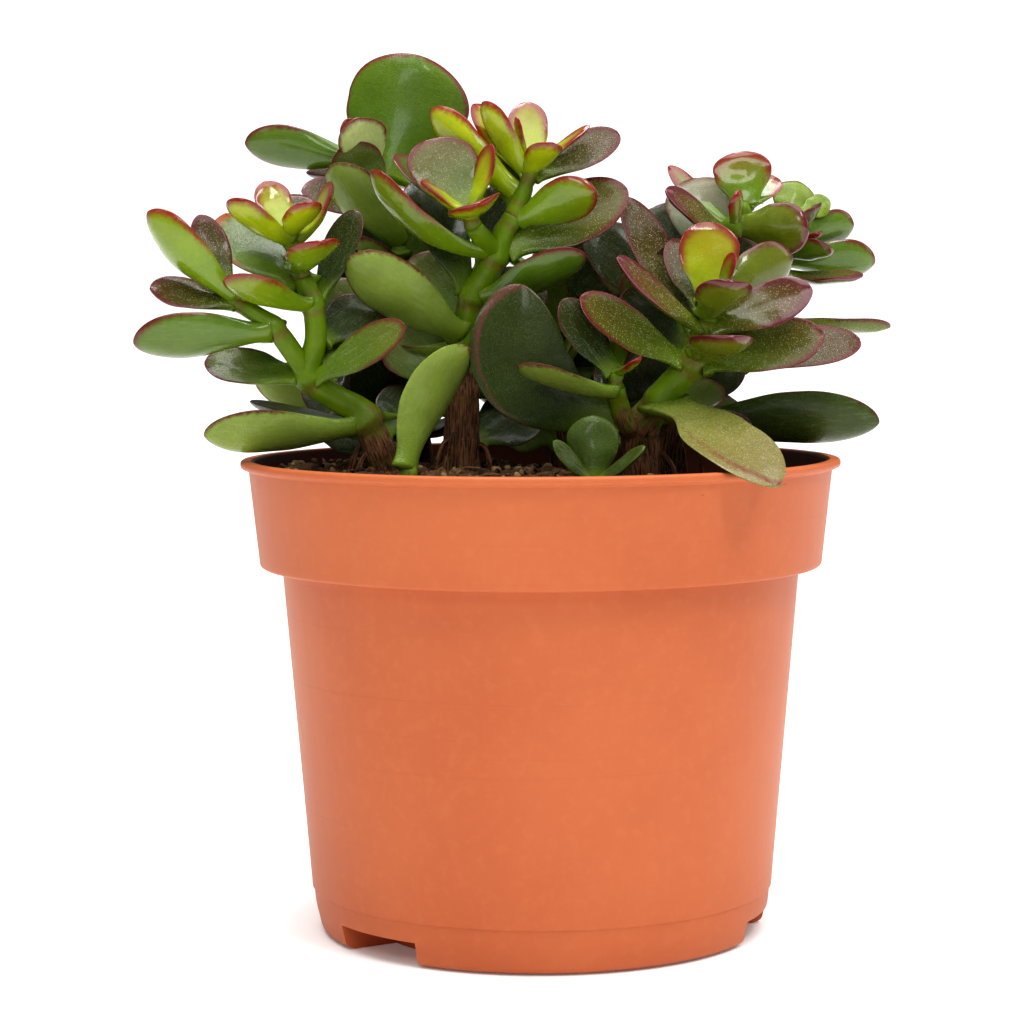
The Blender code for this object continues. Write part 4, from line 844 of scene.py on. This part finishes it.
def stem_length(points, first, last, feet, green_from, seed):
    """Verts, faces and attributes of a stem between two of its points, swollen where leaves join it."""
    path, marks = smooth_path(points, STEM_STEP)
    kept = (marks >= first - 1e-6) & (marks <= last + 1e-6)
    arc = np.concatenate([[0.0], np.cumsum(np.linalg.norm(np.diff(path[:, :3], axis=0), axis=1))])
    joints = []
    for foot in feet:
        gaps = np.linalg.norm(path[:, :3] - np.array(foot, float), axis=1) - path[:, 3]
        if gaps.min() < 2.5:
            joints.append(arc[gaps.argmin()])
    verts, forms, places = [], [], []
    side = np.array([1.0, 0.0, 0.0])
    turns = 2 * math.pi * np.arange(STEM_RING) / STEM_RING
    picked = np.flatnonzero(kept)
    for k in picked:
        along = unit(path[min(k + 1, len(path) - 1), :3] - path[max(k - 1, 0), :3])
        side = unit(side - along * np.dot(side, along))
        other = np.cross(along, side)
        radius = path[k, 3]
        scar = 0.0
        for joint in joints:
            gap = arc[k] - joint
            radius = radius * (1 + 0.10 * math.exp(-((gap - 0.3) / 1.3) ** 2))
            radius = radius - 0.10 * math.exp(-((gap + 1.5) / 0.35) ** 2)
            scar = max(scar, math.exp(-((gap + 1.5) / 0.45) ** 2))
        if last == len(points) - 1:
            radius = radius * math.sqrt(min(1.0, max(0.03, (arc[-1] - arc[k]) / 1.5)))
        age = 1 - float(eased(path[k, 2], green_from - 9.0, green_from + 9.0))
        for turn in turns:
            outward = math.cos(turn) * side + math.sin(turn) * other
            place = Vector((math.cos(turn) * 1.6, math.sin(turn) * 1.6, arc[k] * 0.16 + seed))
            rough = noise.noise(place) * (0.10 + 0.45 * age) + noise.noise(place * 3.1) * 0.22 * age
            verts.append(path[k, :3] + outward * (radius + rough))
            forms.append((age, scar, 0.0))
            places.append((arc[k], math.cos(turn) * radius * 1.6, math.sin(turn) * radius * 1.6 + seed))
    count = len(picked)
    faces = [list(range(STEM_RING)), list(range((count - 1) * STEM_RING, count * STEM_RING))]
    for row in range(count - 1):
        for k in range(STEM_RING):
            a = row * STEM_RING + k
            b = row * STEM_RING + (k + 1) % STEM_RING
            faces.append([a, b, b + STEM_RING, a + STEM_RING])
    return np.array(verts), faces, {"form": np.array(forms), "place": np.array(places)}


def combined(parts):
    """One set of verts, faces and attributes from several."""
    verts, faces = [], []
    attributes = {key: [] for key in parts[0][2]}
    for part_verts, part_faces, part_attributes in parts:
        start = sum(len(v) for v in verts)
        verts.append(part_verts)
        faces += [[start + k for k in face] for face in part_faces]
        for key in attributes:
            attributes[key].append(part_attributes[key])
    return np.vstack(verts), faces, {key: np.concatenate(values) for key, values in attributes.items()}


def root_threads(points, count, seed, spread):
    """Thin roots that leave a trunk above the soil and bend down into it."""
    rng = np.random.default_rng(seed)
    parts = []
    for number in range(count):
        height = rng.uniform(93.5, 100.0)
        heights = [p[2] for p in points[:4]]
        centre = np.array([np.interp(height, heights, [p[k] for p in points[:4]]) for k in (0, 1)])
        turn = rng.uniform(0, 2 * math.pi)
        out = np.array([math.cos(turn), math.sin(turn)])
        reach = points[1][3]
        places = [
            (reach * 0.7, height), (reach + 0.6, height - 0.8), (reach + spread * rng.uniform(0.4, 1.0), 92.0),
            (reach + spread * rng.uniform(0.6, 1.2), 86.0),
        ]
        thread = [(*(centre + out * r), z, 0.42 - 0.06 * k) for k, (r, z) in enumerate(places)]
        parts.append(stem_length(thread, 0, 3, [], 160.0, seed + number))
    return parts


# Pot

def revolved(profile, steps):
    verts, index, faces = [], [], []
    for radius, height in profile:
        if radius == 0.0:
            index.append([len(verts)] * steps)
            verts.append((0.0, 0.0, height))
            continue
        index.append(list(range(len(verts), len(verts) + steps)))
        turns = 2 * math.pi * np.arange(steps) / steps
        verts += [(radius * math.cos(turn), radius * math.sin(turn), height) for turn in turns]
    for low, high in zip(index[:-1], index[1:]):
        for n in range(steps):
            corners = [low[n], low[(n + 1) % steps], high[(n + 1) % steps], high[n]]
            kept = list(dict.fromkeys(corners))
            if len(kept) > 2:
                faces.append(kept)
    return verts, faces


def rounded(profile, cuts):
    """The profile with the corners named in cuts replaced by arcs of that radius."""
    made = []
    for k, point in enumerate(profile):
        if k not in cuts:
            made.append(point)
            continue
        here = np.array(point, float)
        before = np.array(profile[k - 1], float) - here
        after = np.array(profile[k + 1], float) - here
        reach = min(cuts[k], 0.45 * np.linalg.norm(before), 0.45 * np.linalg.norm(after))
        start = here + unit(before) * reach
        end = here + unit(after) * reach
        for t in np.linspace(0, 1, 5):
            at = start * (1 - t) ** 2 + here * 2 * t * (1 - t) + end * t**2
            made.append((float(at[0]), float(at[1])))
    return made


def around(azimuth, radius):
    """Point at a radius, with the azimuth in degrees from the front towards +X."""
    turn = math.radians(azimuth)
    return radius * math.sin(turn), -radius * math.cos(turn)


def block(azimuth, half_angle, inner, bottom, top):
    """Verts and faces of a wedge-shaped block between two (height, outer radius) levels."""
    verts = []
    shares = np.linspace(-1, 1, 13)
    for height, outer in (bottom, top):
        verts += [(*around(azimuth + share * half_angle, outer), height) for share in shares]
        verts += [(*around(azimuth + share * half_angle, inner), height) for share in shares[::-1]]
    count = len(verts) // 2
    faces = [list(range(count)), list(range(count, 2 * count))]
    faces += [[k, (k + 1) % count, count + (k + 1) % count, count + k] for k in range(count)]
    return verts, faces


# Pot measures
RIM_RADIUS = 60.0
RIM_TOP = 94.9
RIM_BOTTOM = 93.3
SKIRT_TOP_RADIUS = 58.4
SKIRT_LOW_RADIUS = 56.4
SKIRT_LOW = 73.7
SKIRT_TAPER = 0.102
BODY_TOP_RADIUS = 51.9
BODY_LOW_RADIUS = 46.2
FOOT_RADIUS = 44.6
WALL = 1.2
FLOOR = 1.6
CHANNEL_AZIMUTHS = (-46.0, 75.0, -166.0)
CHANNEL_HALF_ANGLE = 13.5
CHANNEL_HEIGHT = 5.0
CHANNEL_INNER = 33.5
DRAIN_RADIUS = 3.0
DRAIN_CENTRE = 39.5
DRAIN_STEPS = 40
SOIL_HIGH = 92.4
SOIL_LOW = 86.8
SOIL_RADIUS = 55.2
SOIL_UNDERSIDE = 75.5
SOIL_FOOT_RADIUS = 51.0
CRUMBS = 950
FIBRES = 46
ROOTS_ON_A_STEM = 6


def plain_object(name, verts, faces):
    mesh = bpy.data.meshes.new(name)
    mesh.from_pydata([tuple(v) for v in verts], [], faces)
    shell = bmesh.new()
    shell.from_mesh(mesh)
    bmesh.ops.triangulate(shell, faces=[f for f in shell.faces if len(f.verts) > 4])
    bmesh.ops.recalc_face_normals(shell, faces=shell.faces)
    if shell.calc_volume(signed=True) < 0:
        bmesh.ops.reverse_faces(shell, faces=shell.faces)
    shell.to_mesh(mesh)
    shell.free()
    obj = bpy.data.objects.new(name, mesh)
    bpy.context.scene.collection.objects.link(obj)
    return obj


def make_pot(material):
    """The pot: rolled rim, skirt, ledge, tapered body and a foot cut by three channels."""
    inside_top = SKIRT_TOP_RADIUS - WALL
    profile = [
        (0.0, 0.0), (FOOT_RADIUS - 1.8, 0.0), (FOOT_RADIUS, 0.7), (BODY_LOW_RADIUS - 0.35, 5.9),
        (BODY_LOW_RADIUS - 0.1, 8.8), (BODY_LOW_RADIUS + 0.28, 9.2), (BODY_TOP_RADIUS, SKIRT_LOW),
        (SKIRT_LOW_RADIUS - 0.1, SKIRT_LOW), (SKIRT_LOW_RADIUS + 0.05, SKIRT_LOW + 1.6),
        (SKIRT_TOP_RADIUS, RIM_BOTTOM), (RIM_RADIUS, RIM_BOTTOM), (RIM_RADIUS, RIM_TOP),
        (inside_top, RIM_TOP), (inside_top, RIM_BOTTOM), (SKIRT_LOW_RADIUS - WALL, SKIRT_LOW + 2.4),
        (SKIRT_LOW_RADIUS - WALL - 1.0, SKIRT_LOW + WALL), (BODY_TOP_RADIUS - WALL, SKIRT_LOW - 0.6),
        (BODY_LOW_RADIUS - WALL, 7.0), (FOOT_RADIUS - 0.6, FLOOR), (0.0, FLOOR),
    ]
    cuts = {
        1: 0.5, 2: 0.9, 3: 1.2, 6: 0.5, 7: 0.8, 9: 0.6, 10: 0.75, 11: 0.85, 12: 0.5, 15: 0.5,
        16: 0.5, 18: 0.8,
    }
    body = plain_object("pot_body", *revolved(rounded(profile, cuts), POT_STEPS))
    tools = []
    for azimuth in CHANNEL_AZIMUTHS:
        bump = block(azimuth, CHANNEL_HALF_ANGLE + 1.6, CHANNEL_INNER - WALL, (0.5, FOOT_RADIUS - 0.6),
                     (CHANNEL_HEIGHT + WALL, BODY_LOW_RADIUS - 0.7))
        tools.append((plain_object("channel_roof", *bump), "UNION"))
    for azimuth in CHANNEL_AZIMUTHS:
        cut = block(azimuth, CHANNEL_HALF_ANGLE, CHANNEL_INNER, (-2.0, RIM_RADIUS),
                    (CHANNEL_HEIGHT, RIM_RADIUS))
        tools.append((plain_object("channel_cut", *cut), "DIFFERENCE"))
        x, y = around(azimuth, DRAIN_CENTRE)
        turns = 2 * math.pi * np.arange(DRAIN_STEPS) / DRAIN_STEPS
        ring = [(x + DRAIN_RADIUS * math.cos(t), y + DRAIN_RADIUS * math.sin(t)) for t in turns]
        verts = [(*p, z) for z in (-3.0, CHANNEL_HEIGHT + 6.0) for p in ring]
        faces = [list(range(DRAIN_STEPS)), list(range(DRAIN_STEPS, 2 * DRAIN_STEPS))]
        for n in range(DRAIN_STEPS):
            m = (n + 1) % DRAIN_STEPS
            faces.append([n, m, DRAIN_STEPS + m, DRAIN_STEPS + n])
        tools.append((plain_object("drain_cut", verts, faces), "DIFFERENCE"))
    for tool, operation in tools:
        modifier = body.modifiers.new(operation.lower(), "BOOLEAN")
        modifier.operation = operation
        modifier.solver = "EXACT"
        modifier.object = tool
    bevel = body.modifiers.new("soft_edges", "BEVEL")
    bevel.limit_method = "ANGLE"
    bevel.angle_limit = math.radians(50)
    bevel.width = 0.28
    bevel.segments = 2
    graph = bpy.context.evaluated_depsgraph_get()
    cut_mesh = bpy.data.meshes.new_from_object(body.evaluated_get(graph))
    for obj in [body] + [tool for tool, _operation in tools]:
        bpy.data.objects.remove(obj)
    cut_mesh.transform(Matrix.Scale(MM, 4))
    cut_mesh.shade_smooth()
    cut_mesh.set_sharp_from_angle(angle=math.radians(38))
    pot = bpy.data.objects.new("grower_pot", cut_mesh)
    bpy.context.scene.collection.objects.link(pot)
    cut_mesh.materials.clear()
    cut_mesh.materials.append(material)
    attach(pot, "root")
    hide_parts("pot")
    return pot


def soil_height(x, y):
    """Higher at the front and left, lower towards the back right, with small heaps."""
    slope = min(max((x + 0.6 * y + 8.0) / 60.0, 0.0), 1.0)
    height = SOIL_HIGH + (SOIL_LOW - SOIL_HIGH) * slope
    heaps = 0.5 * math.sin(0.31 * x + 1.0) * math.cos(0.27 * y) + 0.35 * math.sin(0.6 * y + 0.4 * x)
    lumps = 0.9 * noise.noise(Vector((x * 0.22, y * 0.22, 4.0)))
    grit = 0.5 * noise.noise(Vector((x * 0.7, y * 0.7, 1.0)))
    return height + heaps + (lumps + grit)


def disc_faces(rings, steps):
    """Faces of a disc with one vert at its middle and rings of verts around it."""
    faces = [[0, 1 + n, 1 + (n + 1) % steps] for n in range(steps)]
    for ring in range(rings - 1):
        start = 1 + ring * steps
        for n in range(steps):
            m = (n + 1) % steps
            faces.append([start + n, start + steps + n, start + steps + m, start + m])
    return faces


def make_soil(material):
    """Peat surface, with loose crumbs and a few fibres on it."""
    rings, steps = 72, 180
    verts = [(0.0, 0.0, soil_height(0.0, 0.0))]
    for ring in range(1, rings + 1):
        radius = SOIL_RADIUS * ring / rings
        for n in range(steps):
            turn = 2 * math.pi * n / steps
            x, y = radius * math.cos(turn), radius * math.sin(turn)
            verts.append((x, y, soil_height(x, y) - 1.2 * eased(ring / rings, 0.93, 1.0)))
    low = len(verts)
    for n in range(steps):
        turn = 2 * math.pi * n / steps
        verts.append((SOIL_FOOT_RADIUS * math.cos(turn), SOIL_FOOT_RADIUS * math.sin(turn), SOIL_UNDERSIDE))
    faces = disc_faces(rings + 1, steps)
    faces.append(list(range(low, low + steps)))
    make_piece("soil_surface", verts, faces, material, "soil", ["soil"], {"bit": np.full(len(verts), 0.5)})

    rng = np.random.default_rng(7)
    sphere = bmesh.new()
    bmesh.ops.create_icosphere(sphere, subdivisions=2, radius=1.0)
    ball = np.array([v.co for v in sphere.verts])
    ball_faces = [[v.index for v in f.verts] for f in sphere.faces]
    sphere.free()
    verts, faces, bits = [], [], []
    for number in range(CRUMBS):
        radius = (SOIL_RADIUS - 1.5) * math.sqrt(rng.uniform(0.0, 1.0))
        turn = rng.uniform(0, 2 * math.pi)
        x, y = radius * math.cos(turn), radius * math.sin(turn)
        size = rng.uniform(0.35, 1.0) * (1.5 if rng.uniform() > 0.93 else 1.0)
        stretch = rng.uniform(0.55, 1.35, 3)
        offset = Vector(rng.uniform(-40, 40, 3))
        lumps = np.array([1 + 0.55 * noise.noise(Vector(p) * 1.4 + offset) for p in ball])
        shape = ball * lumps[:, None] * stretch * size
        angle = rng.uniform(0, 6.28)
        axis = Vector(rng.uniform(-1, 1, 3)).normalized()
        turned = shape @ np.array(Matrix.Rotation(angle, 3, axis))
        start = number * len(ball)
        verts.append(turned + np.array([x, y, soil_height(x, y) + size * 0.25]))
        faces += [[start + k for k in face] for face in ball_faces]
        bits += [rng.uniform()] * len(ball)
    make_piece("soil_crumbs", np.vstack(verts), faces, material, "soil", [], {"bit": np.array(bits)})

    parts = []
    for number in range(FIBRES):
        radius = (SOIL_RADIUS - 4.0) * math.sqrt(rng.uniform(0.0, 1.0))
        turn = rng.uniform(0, 2 * math.pi)
        x, y = radius * math.cos(turn), radius * math.sin(turn)
        heading = rng.uniform(0, 2 * math.pi)
        reach = rng.uniform(1.5, 4.0)
        way = np.array([math.cos(heading), math.sin(heading)]) * reach
        ends = [(x - way[0], y - way[1]), (x, y), (x + way[0], y + way[1])]
        inside = all(math.hypot(*end) < SOIL_RADIUS - 1.0 for end in ends)
        if inside:
            lift = (0.2, rng.uniform(0.7, 1.5), 0.3)
            thread = [(*end, soil_height(*end) + lift[k], 0.16) for k, end in enumerate(ends)]
            path_verts, path_faces, _attributes = stem_length(thread, 0, 2, [], 160.0, number)
            parts.append((path_verts, path_faces, {"bit": np.full(len(path_verts), rng.uniform(0.6, 1.0))}))
    verts, faces, attributes = combined(parts)
    make_piece("soil_fibres", verts, faces, material, "soil", [], attributes)


def small_leaves(name, specs, materials):
    for number, (spec, look) in enumerate(zip(specs, CROWN_LOOKS[name].split()), 1):
        piece_name = "%s_blade_%d" % (name, number)
        leaf_piece(piece_name, spec, look, materials, "young_growth", [name], small=True)


def make_plant():
    materials = {
        "waxy": leaf_material("jade_leaf_waxy", coat=0.16, subsurface=0.04, dimples=0.45),
        "glossy": leaf_material("jade_leaf_glossy", coat=0.60, subsurface=0.10, dimples=0.12),
    }
    bark = stem_material()
    feet = [spec[0] for spec in LEAVES.values()]
    feet += [spec[0] for _points, _first, specs in CROWNS.values() for spec in specs]
    for number, (name, lengths) in enumerate(STEMS.items()):
        parts = [stem_length(points, 0, last, feet, GREEN_FROM[name], 3.0 * number + k)
                 for k, (points, last) in enumerate(lengths)]
        verts, faces, attributes = combined(parts)
        make_piece(name + "_bark", verts, faces, bark, "stem", [name], attributes)
        verts, faces, attributes = combined(root_threads(lengths[0][0], ROOTS_ON_A_STEM, 20 + number, 3.0))
        make_piece(name + "_roots", verts, faces, bark, "stem", [], attributes)
    for name, spec in LEAVES.items():
        leaf_piece(name + "_blade", spec, LEAF_LOOKS[name], materials, "leaf", [name])
    for number, spec in enumerate(INNER_LEAVES, 1):
        # Two in three of these leaves take the dark look: painted shade on leaves deep in the plant.
        look = "dark" if number % 3 else "mature"
        leaf_piece("inner_leaf_%d" % number, spec, look, materials, "leaf", [])
    for order, (name, (points, first, specs)) in enumerate(CROWNS.items()):
        green_from = 100.0 if first > 2 else 112.0
        last = len(points) - 1
        verts, faces, attributes = stem_length(points, first, last, feet, green_from, 40.0 + order)
        make_piece(name + "_shoot", verts, faces, bark, "young_growth", [name], attributes)
        small_leaves(name, specs, materials)
    seedling_feet = [spec[0] for spec in SEEDLING_LEAVES]
    verts, faces, attributes = stem_length(SEEDLING_STEM, 0, 2, seedling_feet, 80.0, 60.0)
    make_piece("seedling_shoot", verts, faces, bark, "young_growth", ["seedling"], attributes)
    small_leaves("seedling", SEEDLING_LEAVES, materials)
    verts, faces, attributes = stem_length(ROOTED_STEM, 0, 2, [], 92.0, 61.0)
    make_piece("rooted_leaf_shoot", verts, faces, bark, "leaf", ["rooted_leaf"], attributes)
    leaf_piece("rooted_leaf_blade", ROOTED_LEAF, "mature", materials, "leaf", ["rooted_leaf"])


# Camera, floor and lights

CAMERA_AT = (-0.0057, -0.558, 0.1285)
CAMERA_PITCH = -0.0797
CAMERA_ROLL = -0.0046
CAMERA_LENS = 97.77

# Soft boxes: (name, place, aim, size in metres, power in watts)
LIGHTS = (
    ("key_box", (0.42, -0.60, 0.85), (0.0, 0.0, 0.11), (0.18, 0.18), 2.0),
    ("front_box", (-0.10, -0.95, 0.62), (0.0, 0.0, 0.12), (0.40, 0.22), 1.8),
    ("top_box", (-0.12, 0.12, 0.95), (0.0, 0.0, 0.10), (0.30, 0.30), 2.2),
    ("left_box", (-0.60, -0.35, 0.70), (0.0, 0.0, 0.11), (0.16, 0.30), 0.2),
    ("right_box", (0.75, 0.10, 0.60), (0.0, 0.0, 0.11), (0.40, 0.70), 1.6),
)
SUN_FROM = (0.04, -0.16, 1.0)
SUN_STRENGTH = 2.75
SUN_ANGLE = math.radians(60.0)
SUN_GLOSS = 0.08
SURROUND_LIGHT = 0.24
BACKDROP_LIGHT = 1.05
FLOOR_REACH = 3.0
FLOOR_DROP = 0.0001


def aimed(place, aim):
    way = Vector(aim) - Vector(place)
    return Matrix.Translation(place) @ way.to_track_quat("-Z", "Y").to_matrix().to_4x4()


def make_studio():
    scene = bpy.context.scene
    camera_data = bpy.data.cameras.new("photo_camera")
    camera_data.lens = CAMERA_LENS
    camera_data.sensor_width = 36.0
    camera_data.clip_start = 0.02
    camera_data.clip_end = 30.0
    camera = bpy.data.objects.new("photo_camera", camera_data)
    turn = Matrix.Rotation(math.pi / 2 + CAMERA_PITCH, 4, "X") @ Matrix.Rotation(CAMERA_ROLL, 4, "Z")
    camera.matrix_world = Matrix.Translation(CAMERA_AT) @ turn
    scene.collection.objects.link(camera)
    scene.camera = camera
    for name, place, aim, size, power in LIGHTS:
        data = bpy.data.lights.new(name, "AREA")
        data.shape = "RECTANGLE"
        data.size, data.size_y = size
        data.energy = power
        lamp = bpy.data.objects.new(name, data)
        lamp.matrix_world = aimed(place, aim)
        scene.collection.objects.link(lamp)
    sun_data = bpy.data.lights.new("sky_sheet", "SUN")
    sun_data.energy = SUN_STRENGTH
    sun_data.angle = SUN_ANGLE
    sun_data.specular_factor = SUN_GLOSS
    sun = bpy.data.objects.new("sky_sheet", sun_data)
    sun.matrix_world = aimed(SUN_FROM, (0.0, 0.0, 0.0))
    scene.collection.objects.link(sun)
    world = bpy.data.worlds.new("studio_world")
    scene.world = world
    world.use_nodes = True
    tree = world.node_tree
    background = tree.nodes["Background"]
    background.inputs["Color"].default_value = (1.0, 1.0, 1.0, 1.0)
    seen = node(tree, "ShaderNodeLightPath").outputs["Is Camera Ray"]
    strength = ramp(tree, seen, 0.0, 1.0, SURROUND_LIGHT, BACKDROP_LIGHT)
    tree.links.new(strength, background.inputs["Strength"])
    scene.view_settings.view_transform = "Standard"
    scene.view_settings.look = "Medium High Contrast"

    rings, steps = 24, 96
    verts = [(0.0, 0.0, -FLOOR_DROP)]
    for ring in range(1, rings + 1):
        radius = FLOOR_REACH * (ring / rings) ** 2
        for n in range(steps):
            turn = 2 * math.pi * n / steps
            verts.append((radius * math.cos(turn), radius * math.sin(turn), -FLOOR_DROP))
    floor = make_piece("studio_floor", verts, disc_faces(rings, steps), floor_material(), None, scale=1.0)


make_pot(pot_material())
make_soil(soil_material())
make_plant()
make_studio()
